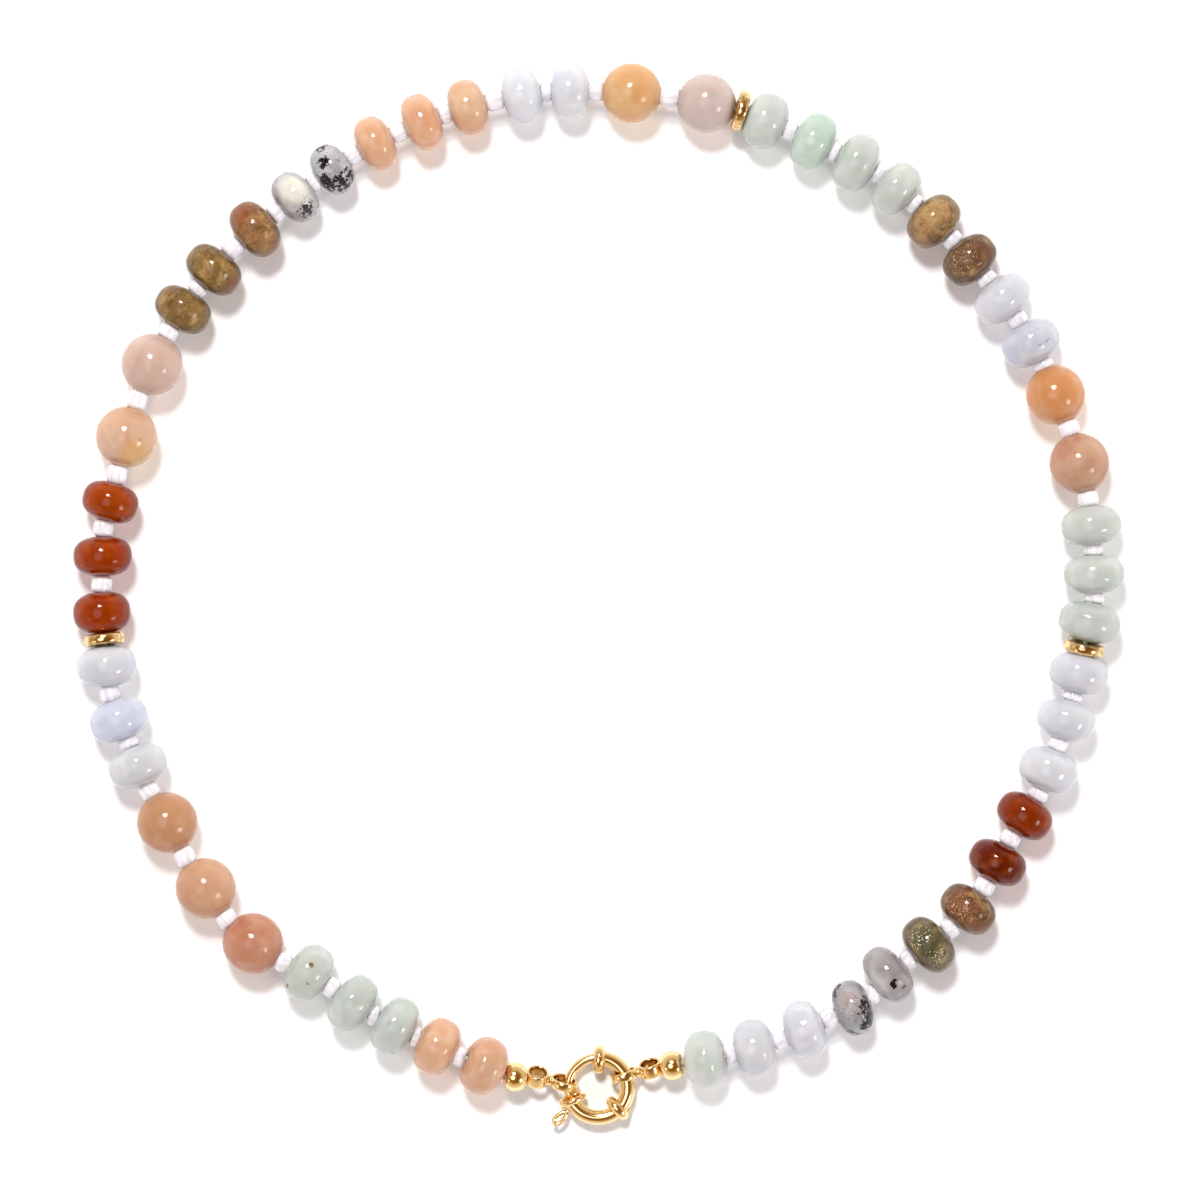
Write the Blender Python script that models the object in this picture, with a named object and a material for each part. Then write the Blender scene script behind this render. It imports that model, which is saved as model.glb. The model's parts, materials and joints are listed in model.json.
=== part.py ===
"""Beaded gemstone necklace with a bolt-ring clasp, lying on a table in a closed loop.

Fifty-three polished stones, round and rondelle, are strung with a seed bead between
most of them. Three gold spacers break the row, and a gold end bead, a figure-eight
connector and a bolt-ring clasp close it. Metres, +Z up, +X to the right of the loop
and +Y away from the clasp. The table is the plane Z = 0.
"""

import math
from collections import namedtuple

import bpy
import bmesh
from mathutils import Vector

MM = 0.001
UP = Vector((0, 0, 1))

# Stones and the thread
ROUND_DIAMETER = 8.0 * MM
RONDELLE_DIAMETER = 7.8 * MM
RONDELLE_WIDTH = 5.3 * MM
STONE_SPACING = 1.58 * MM
SEED_DIAMETER = 2.8 * MM
SEED_RIM = 2.46 * MM
THREAD_DIAMETER = 0.6 * MM
SEAT_GAP = 0.15 * MM
END_GAP = 0.32 * MM
END_LEAN = math.radians(14)
BEAD_SIDES = 12

# Gold spacers and end beads
SPACER_DIAMETER = 5.5 * MM
SPACER_WIDTH = 1.35 * MM
SPACER_HUB = 1.05 * MM
SPACER_BORE = 1.4 * MM
SPACER_GAP = 0.275 * MM
END_BEAD_DIAMETER = 3.75 * MM
END_BEAD_LENGTH = 2.6 * MM
END_BEAD_BORE = 1.25 * MM
GOLD_SIDES = 14

# Figure-eight connectors
EYE_DIAMETER = 3.1 * MM
EYE_HOLE = 2.2 * MM
EYE_WIDTH = 1.2 * MM
EYE_HEIGHT = 2.35 * MM
LOOP_DIAMETER = 3.82 * MM
LOOP_HOLE = 2.76 * MM
LOOP_BAND = 1.2 * MM
LINK_SHOULDER = 0.35
LINK_CREST = 0.6
LINK_THROAT = 0.5
NECK_DIAMETER = 1.1 * MM
POST_DIAMETER = 0.7 * MM
LINK_SIDES = 14
ROD_SIDES = 8

# Bolt-ring clasp
RING_RADIUS = 3.95 * MM
RING_HEIGHT = 1.88 * MM
TUBE_DIAMETER = 2.0 * MM
TUBE_BORE = 1.56 * MM
BOLT_DIAMETER = 1.24 * MM
COLLAR_LENGTH = 3.86 * MM
COLLAR_HEIGHT = 3.2 * MM
COLLAR_WIDTH = 1.5 * MM
COLLAR_INSET = 0.22 * MM
LEVER_LENGTH = 2.75 * MM
LEVER_WIDTH = 1.5 * MM
LEVER_WIRE = 0.48 * MM
STEM_DIAMETER = 0.4 * MM
SLOT_CLEARANCE = 0.15 * MM
TUBE_SIDES = 12
WIRE_SIDES = 6
LEVER_STEPS = 14
ARC_STEP = math.radians(14)

# Places round the clasp ring, as angles from +X
CATCH_ANGLE = math.radians(88)
MOUTH_ANGLE = math.radians(204)
REAR_COLLAR_ANGLE = math.radians(313)
LEVER_ANGLE = math.radians(218)
LEVER_LEAN = math.radians(13)
BOLT_TAIL = math.radians(14)
BOLT_ENTRY = math.radians(5)
BOLT_TRAVEL = math.radians(38)

# How each connector lies, in degrees and shares. The loop holds a rod of the clasp and
# has slid outward in its play, and the eye lies a share of a touching distance from it.
Side = namedtuple("Side", "name ring_angle held play loop_heading loop_rise"
                          " eye_reach eye_heading eye_tilt bead_heading")
SIDES = (
    Side("left", 172, BOLT_DIAMETER, 0.39, -12, 18, 1.14, 168, 55, 178),
    Side("right", 25, TUBE_DIAMETER, -0.20, 17, 6, 1.025, 14.5, 67, 9.5),
)

# How finely the thread's route is drawn, and how often its width is fitted
ROUTE_STEPS = 24
FIT_ROUNDS = 12

# Points that the thread passes through, from the left end bead clockwise to the right
# one, as shares of the loop's width measured from the clasp ring's centre
ROUTE = (
    (-0.159, 0.041), (-0.245, 0.085), (-0.290, 0.116), (-0.346, 0.145),
    (-0.394, 0.200), (-0.433, 0.266), (-0.482, 0.369), (-0.500, 0.476),
    (-0.492, 0.590), (-0.450, 0.729), (-0.389, 0.824), (-0.307, 0.898),
    (-0.227, 0.952), (-0.134, 0.989), (-0.030, 1.006), (0.108, 0.994),
    (0.216, 0.956), (0.300, 0.908), (0.374, 0.837), (0.436, 0.753),
    (0.485, 0.632), (0.500, 0.519), (0.485, 0.420), (0.454, 0.322),
    (0.403, 0.228), (0.373, 0.181), (0.333, 0.145), (0.292, 0.115),
    (0.256, 0.081), (0.157, 0.041),
)

# Stones in stringing order from the left end bead. Girth and width are shares of the
# form's diameter and width, swing is how far the stone has turned from the thread in
# degrees, and space is the room after it, as a share of the usual room for what is next.
Stone = namedtuple("Stone", "kind form girth width swing space next")
STONES = (
    Stone("peach", "rondelle", 1.00, 1.03, -4, 0.78, "seed"),
    Stone("peach", "rondelle", 1.00, 1.02, -1, 0.55, "seed"),
    Stone("pale_green", "rondelle", 1.03, 0.98, -3, 0.70, "seed"),
    Stone("pale_green", "rondelle", 1.02, 1.00, -6, 1.05, "seed"),
    Stone("pale_green", "rondelle", 1.01, 1.04, -4, 0.98, "seed"),
    Stone("rose_brown", "round", 1.01, 1.01, 0, 0.95, "seed"),
    Stone("tan_peach", "round", 1.01, 1.01, 0, 1.25, "seed"),
    Stone("tan_peach", "round", 1.01, 1.01, 0, 1.08, "seed"),
    Stone("pale_blue", "rondelle", 1.02, 1.01, -5, 0.76, "seed"),
    Stone("pale_blue", "rondelle", 1.01, 1.03, 4, 1.15, "seed"),
    Stone("pale_blue", "rondelle", 1.02, 1.02, -4, 1.00, "spacer"),
    Stone("red_brown", "rondelle", 0.98, 1.05, 2, 1.28, "seed"),
    Stone("red_brown", "rondelle", 1.00, 1.00, 6, 1.25, "seed"),
    Stone("red_brown", "rondelle", 0.97, 0.99, -5, 1.35, "seed"),
    Stone("apricot", "round", 1.02, 1.02, 0, 1.25, "seed"),
    Stone("dusty_rose", "round", 1.02, 1.02, 0, 0.98, "seed"),
    Stone("olive_brown", "rondelle", 0.99, 1.02, 3, 0.78, "seed"),
    Stone("olive_brown", "rondelle", 1.01, 1.02, 2, 1.42, "seed"),
    Stone("olive_brown", "rondelle", 1.01, 1.02, -3, 0.97, "seed"),
    Stone("speckled", "rondelle", 0.91, 0.96, 2, 0.70, "seed"),
    Stone("speckled", "rondelle", 0.90, 0.93, 0, 1.10, "seed"),
    Stone("peach", "rondelle", 0.95, 0.92, -2, 1.20, "seed"),
    Stone("peach", "rondelle", 0.98, 0.92, 1, 0.88, "seed"),
    Stone("peach", "rondelle", 0.95, 0.95, 1, 1.40, "seed"),
    Stone("pale_blue", "rondelle", 0.95, 0.98, 2, 0.78, "seed"),
    Stone("pale_blue", "rondelle", 0.94, 0.97, 0, 1.00, "seed"),
    Stone("apricot", "round", 0.99, 0.99, 0, 1.32, "seed"),
    Stone("dusty_rose", "round", 0.98, 0.98, 0, 0.93, "spacer"),
    Stone("pale_green", "rondelle", 0.97, 1.04, -3, 0.92, "seed"),
    Stone("pale_green", "rondelle", 1.00, 0.99, -4, 0.67, "seed"),
    Stone("pale_green", "rondelle", 1.03, 1.00, 4, 0.66, "seed"),
    Stone("pale_green", "rondelle", 0.97, 0.98, -3, 0.77, "seed"),
    Stone("olive_brown", "rondelle", 1.00, 1.04, 0, 0.92, "seed"),
    Stone("olive_brown", "rondelle", 0.98, 1.03, 0, 0.83, "seed"),
    Stone("pale_blue", "rondelle", 1.01, 1.01, 1, 0.98, "seed"),
    Stone("pale_blue", "rondelle", 1.02, 1.04, 2, 0.54, "seed"),
    Stone("apricot", "round", 0.99, 0.99, 0, 1.02, "seed"),
    Stone("rose_brown", "round", 1.00, 1.00, 0, 1.08, "seed"),
    Stone("pale_green", "rondelle", 1.03, 1.00, 0, 0.76, "seed"),
    Stone("pale_green", "rondelle", 1.04, 0.98, 3, 0.71, "seed"),
    Stone("pale_green", "rondelle", 1.07, 1.00, -3, 0.97, "spacer"),
    Stone("pale_blue", "rondelle", 1.01, 1.01, 1, 0.62, "seed"),
    Stone("pale_blue", "rondelle", 1.01, 1.01, 2, 0.95, "seed"),
    Stone("pale_blue", "rondelle", 1.01, 1.06, 4, 0.88, "seed"),
    Stone("red_brown", "rondelle", 0.99, 1.00, -4, 1.17, "seed"),
    Stone("red_brown", "rondelle", 1.01, 0.99, 2, 1.24, "seed"),
    Stone("olive_brown", "rondelle", 1.00, 1.02, 2, 1.04, "seed"),
    Stone("olive_brown", "rondelle", 1.03, 1.01, 1, 0.90, "seed"),
    Stone("speckled", "rondelle", 1.02, 0.96, -1, 0.90, "seed"),
    Stone("speckled", "rondelle", 0.96, 0.93, -9, 1.22, "seed"),
    Stone("pale_blue", "rondelle", 1.00, 0.99, -1, 1.06, "seed"),
    Stone("pale_blue", "rondelle", 0.97, 1.04, -6, 0.70, "seed"),
    Stone("pale_green", "rondelle", 0.99, 1.03, -1, 1.40, "end"),
)

# Half sections of the beads, as shares of half the width and of the radius
PROFILES = {
    "rondelle": ((0.28, 1.00), (0.78, 0.73), (0.97, 0.43)),
    "round": ((0.20, 1.00), (0.55, 0.86), (0.82, 0.59), (0.94, 0.36)),
}
SPACER_PROFILE = ((0.55, 1.00), (1.00, 0.80))
BALL_RINGS = (0.2, 0.6, 1.0)
COLLAR_PROFILE = ((0.00, 1.00), (0.64, 0.88), (1.00, 0.60))

COLOURS = {
    "peach": (0.72, 0.42, 0.26),
    "pale_green": (0.60, 0.66, 0.58),
    "rose_brown": (0.55, 0.25, 0.16),
    "tan_peach": (0.62, 0.35, 0.20),
    "pale_blue": (0.68, 0.69, 0.76),
    "red_brown": (0.30, 0.05, 0.01),
    "apricot": (0.74, 0.42, 0.20),
    "dusty_rose": (0.64, 0.42, 0.34),
    "olive_brown": (0.28, 0.18, 0.07),
    "speckled": (0.55, 0.54, 0.52),
    "seed": (0.85, 0.85, 0.86),
}
GOLD = (0.80, 0.50, 0.18)

Placed = namedtuple("Placed", "stone centre axis radius half_width")
Ring = namedtuple("Ring", "centre axis radius colour")


def make_material(name, colour, roughness, metallic):
    material = bpy.data.materials.new(name)
    material.use_nodes = True
    shader = material.node_tree.nodes["Principled BSDF"]
    shader.inputs["Base Color"].default_value = (*colour, 1)
    shader.inputs["Roughness"].default_value = roughness
    shader.inputs["Metallic"].default_value = metallic
    return material


def stone_materials():
    """One material for each kind of stone, in the order of COLOURS."""
    return [make_material(name, colour, 0.15, 0.0) for name, colour in COLOURS.items()]


def heading(angle, rise=0.0):
    """A unit vector at an angle from +X in plan, lifted by rise."""
    flat = Vector((math.cos(angle), math.sin(angle), 0))
    return flat * math.cos(rise) + UP * math.sin(rise)


def ring_points(centre, axis, radius, sides, flatten=1.0):
    """Corners of a regular polygon across the axis, with a flat side down."""
    across = axis.cross(UP).normalized()
    upward = across.cross(axis)
    reach = radius / math.cos(math.pi / sides)
    points = []
    for k in range(sides):
        turn = (k + 0.5) * 2 * math.pi / sides
        points.append(centre + across * math.cos(turn) * reach
                      + upward * math.sin(turn) * reach * flatten)
    return points


def loft(name, loops, materials, closed=False, colours=None):
    """Skin a row of equal loops of points; an open row is capped at both ends."""
    bm = bmesh.new()
    rows = [[bm.verts.new(point) for point in loop] for loop in loops]
    count = len(rows[0])
    spans = len(rows) if closed else len(rows) - 1
    for i in range(spans):
        this, following = rows[i], rows[(i + 1) % len(rows)]
        for k in range(count):
            face = bm.faces.new((this[k], this[(k + 1) % count],
                                 following[(k + 1) % count], following[k]))
            face.material_index = colours[i] if colours else 0
    if not closed:
        bm.faces.new(rows[0])
        bm.faces.new(rows[-1])
    bmesh.ops.recalc_face_normals(bm, faces=bm.faces)
    mesh = bpy.data.meshes.new(name)
    bm.to_mesh(mesh)
    bm.free()
    for material in materials:
        mesh.materials.append(material)
    mesh.shade_smooth()
    mesh.set_sharp_from_angle(angle=math.radians(35))
    piece = bpy.data.objects.new(name, mesh)
    bpy.context.scene.collection.objects.link(piece)
    return piece


def turned_band(name, centre, axis, section, sides, material):
    """A ring turned about an axis; section lists (along, radius) round its wall."""
    loops = [ring_points(centre + axis * along, axis, radius, sides)
             for along, radius in section]
    return loft(name, loops, [material], closed=True)


def arc_rod(name, start, end, radius, sides, material):
    """A round rod bent along the clasp ring's centre line."""
    steps = max(2, math.ceil((end - start) / ARC_STEP))
    loops = []
    for i in range(steps + 1):
        angle = start + (end - start) * i / steps
        tangent = heading(angle + math.pi / 2)
        loops.append(ring_points(on_ring(angle), tangent, radius, sides))
    return loft(name, loops, [material])


def straight_rod(name, start, end, radius, sides, material):
    axis = (end - start).normalized()
    loops = [ring_points(point, axis, radius, sides) for point in (start, end)]
    return loft(name, loops, [material])


def on_ring(angle, radius=RING_RADIUS):
    return heading(angle) * radius + UP * RING_HEIGHT


def fuse(base, tools, operation):
    """Join tools to the base, or cut them from it, as live Boolean modifiers."""
    for tool in tools:
        modifier = base.modifiers.new(tool.name, "BOOLEAN")
        modifier.operation = operation
        modifier.solver = "EXACT"
        modifier.object = tool
        tool.hide_render = True
        tool.display_type = "WIRE"


Connector = namedtuple("Connector", "loop eye bead thread_way across")


def plan_connector(side):
    """Centres of one connector's loop and eye and of its end bead."""
    out = RING_RADIUS + side.play * (LOOP_HOLE - side.held) / 2
    loop = on_ring(math.radians(side.ring_angle), out)
    rise = math.radians(side.loop_rise)
    corner = LOOP_DIAMETER / 2 / math.cos(math.pi / LINK_SIDES)
    loop.z = corner * math.cos(rise) + LOOP_BAND / 2 * math.sin(rise)
    touching = (EYE_DIAMETER + LOOP_DIAMETER) / 2
    eye = loop + heading(math.radians(side.eye_heading)) * side.eye_reach * touching
    eye.z = EYE_HEIGHT
    thread_way = heading(math.radians(side.bead_heading), END_LEAN)
    reach = EYE_DIAMETER / 2 + SEAT_GAP + END_BEAD_LENGTH / 2
    bead = eye + thread_way * reach
    across = UP.cross(thread_way).normalized()
    if across.y < 0:
        across = -across
    return Connector(loop, eye, bead, thread_way, across)


def route_curve(first, last, loop_width):
    """The thread's line in plan, as closely spaced points on a smooth curve."""
    knots = [first.xy] + [Vector(share) * loop_width for share in ROUTE] + [last.xy]
    knots = [2 * knots[0] - knots[1]] + knots + [2 * knots[-1] - knots[-2]]
    points = []
    for a, b, c, d in zip(knots, knots[1:], knots[2:], knots[3:]):
        for i in range(ROUTE_STEPS):
            t = i / ROUTE_STEPS
            points.append(0.5 * (2 * b + (c - a) * t + (2 * a - 5 * b + 4 * c - d) * t ** 2
                                 + (3 * b - a - 3 * c + d) * t ** 3))
    points.append(last.xy)
    return points


def curve_length(points):
    return sum((there - here).length for here, there in zip(points, points[1:]))


def fit_route(first, last, length):
    """The route at the loop width that gives the thread its length."""
    width = length / math.pi
    for _ in range(FIT_ROUNDS):
        width *= length / curve_length(route_curve(first, last, width))
    return route_curve(first, last, width)


def walk(points, distances):
    """Places and directions at the given distances along a row of points."""
    found = []
    travelled = 0.0
    wanted = iter(distances)
    target = next(wanted, None)
    for here, there in zip(points, points[1:]):
        step = (there - here).length
        while target is not None and target <= travelled + step:
            place = here.lerp(there, (target - travelled) / step)
            found.append((place, (there - here).normalized()))
            target = next(wanted, None)
        travelled += step
    return found


def stone_sizes(stone):
    """Radius and half width of a stone."""
    if stone.form == "round":
        return ROUND_DIAMETER / 2 * stone.girth, ROUND_DIAMETER / 2 * stone.width
    return RONDELLE_DIAMETER / 2 * stone.girth, RONDELLE_WIDTH / 2 * stone.width


def place_stones(first, last):
    """Set the stones along the thread, each resting on the table."""
    room = {"seed": STONE_SPACING, "spacer": SPACER_HUB + 2 * SPACER_GAP, "end": END_GAP}
    distances = []
    distance = END_BEAD_LENGTH / 2 + END_GAP
    for stone in STONES:
        half_width = stone_sizes(stone)[1]
        distances.append(distance + half_width)
        distance += 2 * half_width + stone.space * room[stone.next]
    curve = fit_route(first, last, distance + END_BEAD_LENGTH / 2)
    placed = []
    for k, (place, way) in enumerate(walk(curve, distances)):
        radius, half_width = stone_sizes(STONES[k])
        lean = {0: END_LEAN, len(STONES) - 1: -END_LEAN}.get(k, 0.0)
        turn = math.atan2(way.y, way.x) + math.radians(STONES[k].swing)
        height = max(radius * girth * math.cos(lean) + half_width * along * abs(math.sin(lean))
                     for along, girth in PROFILES[STONES[k].form])
        centre = Vector((place.x, place.y, height))
        placed.append(Placed(STONES[k], centre, heading(turn, lean), radius, half_width))
    return placed


def stone_face(bead, side):
    """Centre of a stone's drilled end, on its far (+1) or near (-1) side."""
    along = PROFILES[bead.stone.form][-1][0]
    return bead.centre + bead.axis * side * along * bead.half_width


def stone_rings(bead):
    half = [(along * bead.half_width, girth * bead.radius)
            for along, girth in PROFILES[bead.stone.form]]
    section = [(-along, radius) for along, radius in reversed(half)] + half
    return [Ring(bead.centre + bead.axis * along, bead.axis, radius, bead.stone.kind)
            for along, radius in section]


def rod_rings(start, end, radius, colour):
    axis = (end - start).normalized()
    return [Ring(start, axis, radius, colour), Ring(end, axis, radius, colour)]


def seed_rings(before, after):
    """A small glass bead held between the drilled ends of two stones."""
    start, end = stone_face(before, 1), stone_face(after, -1)
    axis = (end - start).normalized()
    inset = axis * SEAT_GAP / 2
    middle = (start + end) / 2
    return [Ring(start + inset, axis, SEED_RIM / 2, "seed"),
            Ring(middle, axis, SEED_DIAMETER / 2, "seed"),
            Ring(end - inset, axis, SEED_RIM / 2, "seed")]


def bead_string(name, beads, head, tail, materials):
    """A row of stones and seed beads on their thread, as one closed skin.

    head and tail are the points that the thread passes through before the first
    stone and after the last one.
    """
    thread = THREAD_DIAMETER / 2
    rings = rod_rings(head[0], head[1], thread, "seed")
    entry = stone_face(beads[0], -1)
    rings.append(Ring(entry, beads[0].axis, thread, "seed"))
    for before, after in zip(beads, beads[1:]):
        rings += stone_rings(before)
        if before.stone.next == "seed":
            rings += seed_rings(before, after)
        else:
            rings += rod_rings(stone_face(before, 1), stone_face(after, -1), thread, "seed")
    rings += stone_rings(beads[-1])
    rings.append(Ring(stone_face(beads[-1], 1), beads[-1].axis, thread, "seed"))
    rings += rod_rings(tail[0], tail[1], thread, "seed")
    order = list(COLOURS)
    loops = [ring_points(ring.centre, ring.axis, ring.radius, BEAD_SIDES) for ring in rings]
    colours = [order.index(ring.colour) for ring in rings]
    return loft(name, loops, materials, colours=colours)


def gold_spacer(name, before, after, gold):
    """A rounded washer midway between two stones, dished towards its bore."""
    start, end = stone_face(before, 1), stone_face(after, -1)
    half = [(along * SPACER_WIDTH / 2, girth * SPACER_DIAMETER / 2)
            for along, girth in SPACER_PROFILE]
    half.append((SPACER_HUB / 2, SPACER_BORE / 2))
    section = [(-along, radius) for along, radius in reversed(half)] + half
    axis = (end - start).normalized()
    return turned_band(name, (start + end) / 2, axis, section, GOLD_SIDES, gold)


def end_bead(name, connector, gold):
    """A ball cut flat at both ends, bored for the thread and the connector's post."""
    ball = END_BEAD_DIAMETER / 2
    half = []
    for share in BALL_RINGS:
        along = share * END_BEAD_LENGTH / 2
        half.append((along, math.sqrt(ball ** 2 - along ** 2)))
    half.append((END_BEAD_LENGTH / 2, END_BEAD_BORE / 2))
    section = [(-along, radius) for along, radius in reversed(half)] + half
    return turned_band(name, connector.bead, connector.thread_way, section, GOLD_SIDES, gold)


def link_section(outer, hole, width):
    """Wall of a ring link: flat outside, rounded over towards its hole."""
    shoulder = hole + (outer - hole) * LINK_SHOULDER
    half = width / 2
    return ((-half, shoulder / 2), (-half * LINK_THROAT, hole / 2),
            (half * LINK_THROAT, hole / 2), (half, shoulder / 2),
            (half * LINK_CREST, outer / 2), (-half * LINK_CREST, outer / 2))


def end_connector(side, connector, gold):
    """A small eye and a larger loop in one piece, with a post into the end bead."""
    name = "end_connector_" + side.name
    upward = connector.thread_way.cross(connector.across).normalized()
    if upward.z < 0:
        upward = -upward
    tilt = math.radians(side.eye_tilt)
    eye_axis = connector.across * math.sin(tilt) + upward * math.cos(tilt)
    eye = turned_band(name, connector.eye, eye_axis,
                      link_section(EYE_DIAMETER, EYE_HOLE, EYE_WIDTH), LINK_SIDES, gold)
    loop_turn = math.radians(side.loop_heading + 90)
    loop_axis = heading(loop_turn, math.radians(side.loop_rise))
    loop = turned_band(name + "_loop", connector.loop, loop_axis,
                       link_section(LOOP_DIAMETER, LOOP_HOLE, LOOP_BAND), LINK_SIDES, gold)
    eye_wall = (EYE_DIAMETER + EYE_HOLE) / 4
    loop_wall = (LOOP_DIAMETER + LOOP_HOLE) / 4
    way = (connector.loop - connector.eye).normalized()
    neck = straight_rod(name + "_neck", connector.eye + way * eye_wall,
                        connector.loop - way * loop_wall, NECK_DIAMETER / 2, ROD_SIDES, gold)
    post = straight_rod(name + "_post", connector.eye + connector.thread_way * eye_wall,
                        connector.bead - connector.thread_way * SEAT_GAP,
                        POST_DIAMETER / 2, ROD_SIDES, gold)
    fuse(eye, (loop, neck, post), "UNION")
    return eye


def collar(name, angle, gold):
    """An oval band round the clasp tube, standing further in than out."""
    tangent = heading(angle + math.pi / 2)
    centre = on_ring(angle, RING_RADIUS - COLLAR_INSET)
    half = [(along * COLLAR_WIDTH / 2, girth * COLLAR_LENGTH / 2)
            for along, girth in COLLAR_PROFILE]
    section = [(-along, radius) for along, radius in reversed(half)] + half[1:]
    loops = [ring_points(centre + tangent * along, tangent, radius, TUBE_SIDES,
                         COLLAR_HEIGHT / COLLAR_LENGTH) for along, radius in section]
    return loft(name, loops, [gold])


def lever_slot(name, gold):
    """Cutter for the slot in the tube's outer wall that the lever slides along."""
    play = (STEM_DIAMETER / 2 + SLOT_CLEARANCE) / RING_RADIUS
    start, end = LEVER_ANGLE - play, LEVER_ANGLE + BOLT_TRAVEL + play
    half_height = UP * (STEM_DIAMETER / 2 + SLOT_CLEARANCE)
    inner, outer = RING_RADIUS + TUBE_BORE / 4, RING_RADIUS + TUBE_DIAMETER
    steps = math.ceil((end - start) / ARC_STEP)
    loops = []
    for i in range(steps + 1):
        angle = start + (end - start) * i / steps
        near, far = on_ring(angle, inner), on_ring(angle, outer)
        loops.append([near - half_height, far - half_height,
                      far + half_height, near + half_height])
    return loft(name, loops, [gold])


def clasp_ring(gold):
    """The fixed tube of the clasp: bored, slotted for the lever, with three collars."""
    far_end = CATCH_ANGLE + 2 * math.pi
    tube = arc_rod("clasp_ring", MOUTH_ANGLE, far_end, TUBE_DIAMETER / 2, TUBE_SIDES, gold)
    collars = [collar("collar_catch", CATCH_ANGLE, gold),
               collar("collar_mouth", MOUTH_ANGLE, gold),
               collar("collar_rear", REAR_COLLAR_ANGLE, gold)]
    reach = COLLAR_WIDTH / RING_RADIUS
    bore = arc_rod("tube_bore", MOUTH_ANGLE - reach, far_end + reach,
                   TUBE_BORE / 2, TUBE_SIDES, gold)
    fuse(tube, collars, "UNION")
    fuse(tube, (bore, lever_slot("lever_slot", gold)), "DIFFERENCE")
    return tube


def clasp_bolt(gold):
    """The sprung gate of the clasp, with the lever that draws it back."""
    bolt = arc_rod("clasp_bolt", CATCH_ANGLE - BOLT_ENTRY, LEVER_ANGLE + BOLT_TAIL,
                   BOLT_DIAMETER / 2, TUBE_SIDES, gold)
    wire = LEVER_WIRE / 2
    foot = RING_RADIUS + TUBE_DIAMETER / 2 + SLOT_CLEARANCE + wire
    root = on_ring(LEVER_ANGLE, foot)
    stem = straight_rod("lever_stem", on_ring(LEVER_ANGLE), root,
                        STEM_DIAMETER / 2, ROD_SIDES, gold)
    way = heading(LEVER_ANGLE + LEVER_LEAN)
    across = UP.cross(way)
    half_length, half_width = LEVER_LENGTH / 2 - wire, LEVER_WIDTH / 2 - wire
    loops = []
    for i in range(LEVER_STEPS):
        turn = 2 * math.pi * i / LEVER_STEPS
        centre = (root + way * half_length * (1 - math.cos(turn))
                  + across * half_width * math.sin(turn))
        tangent = (way * half_length * math.sin(turn)
                   + across * half_width * math.cos(turn)).normalized()
        loops.append(ring_points(centre, tangent, wire, WIRE_SIDES))
    lever = loft("lever_loop", loops, [gold], closed=True)
    fuse(bolt, (stem, lever), "UNION")
    return bolt


def centre_on_table(pieces):
    """Carry everything on an empty, so that the middle of the box is the origin."""
    bpy.context.view_layer.update()
    depsgraph = bpy.context.evaluated_depsgraph_get()
    corners = []
    for piece in pieces:
        evaluated = piece.evaluated_get(depsgraph)
        corners += [evaluated.matrix_world @ vertex.co for vertex in evaluated.data.vertices]
    low = Vector([min(corner[k] for corner in corners) for k in range(3)])
    high = Vector([max(corner[k] for corner in corners) for k in range(3)])
    carrier = bpy.data.objects.new("necklace_frame", None)
    bpy.context.scene.collection.objects.link(carrier)
    carrier.location = (-(low.x + high.x) / 2, -(low.y + high.y) / 2, -low.z)
    for thing in bpy.context.scene.objects:
        if thing is not carrier:
            thing.parent = carrier


def main():
    for thing in list(bpy.data.objects):
        bpy.data.objects.remove(thing)
    stones = stone_materials()
    gold = make_material("gold_plated", GOLD, 0.18, 1.0)

    left, right = (plan_connector(side) for side in SIDES)
    beads = place_stones(left.bead, right.bead)
    spaced = [k for k, bead in enumerate(beads) if bead.stone.next == "spacer"]
    meeting = spaced[1] + 1
    first_row, second_row = beads[:meeting], beads[meeting:]
    half_bead = END_BEAD_LENGTH / 2
    start, end = stone_face(first_row[-1], 1), stone_face(second_row[0], -1)
    middle, way = (start + end) / 2, (end - start).normalized()
    left_head = (left.bead + left.thread_way * SEAT_GAP,
                 left.bead + left.thread_way * half_bead)
    right_tail = (right.bead + right.thread_way * half_bead,
                  right.bead + right.thread_way * SEAT_GAP)
    pieces = [
        bead_string("bead_string_left", first_row, left_head,
                    (middle - way * SPACER_WIDTH / 2, middle - way * SEAT_GAP), stones),
        bead_string("bead_string_right", second_row,
                    (middle + way * SEAT_GAP, middle + way * SPACER_WIDTH / 2),
                    right_tail, stones),
    ]
    for name, k in zip(("gold_spacer_left", "gold_spacer_top", "gold_spacer_right"), spaced):
        pieces.append(gold_spacer(name, beads[k], beads[k + 1], gold))
    for side, connector in zip(SIDES, (left, right)):
        pieces.append(end_bead("end_bead_" + side.name, connector, gold))
        pieces.append(end_connector(side, connector, gold))
    pieces.append(clasp_ring(gold))
    pieces.append(clasp_bolt(gold))
    centre_on_table(pieces)


main()
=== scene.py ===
"""Looks of a beaded gemstone necklace that lies in a closed loop with its bolt-ring clasp.

Fifty-three polished stones and the glass seed beads between them are turned and drilled one
by one, then set along the thread where the solid model has them. The gold spacers, end
beads, figure-eight connectors and clasp are made as smooth metal over the same sizes.
Metres, +Z up, the table at Z = 0.
"""

import json
import math
import random
from collections import namedtuple

import bpy
import bmesh
from bpy.props import FloatProperty, FloatVectorProperty, IntProperty, PointerProperty
from mathutils import Matrix, Vector


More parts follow.
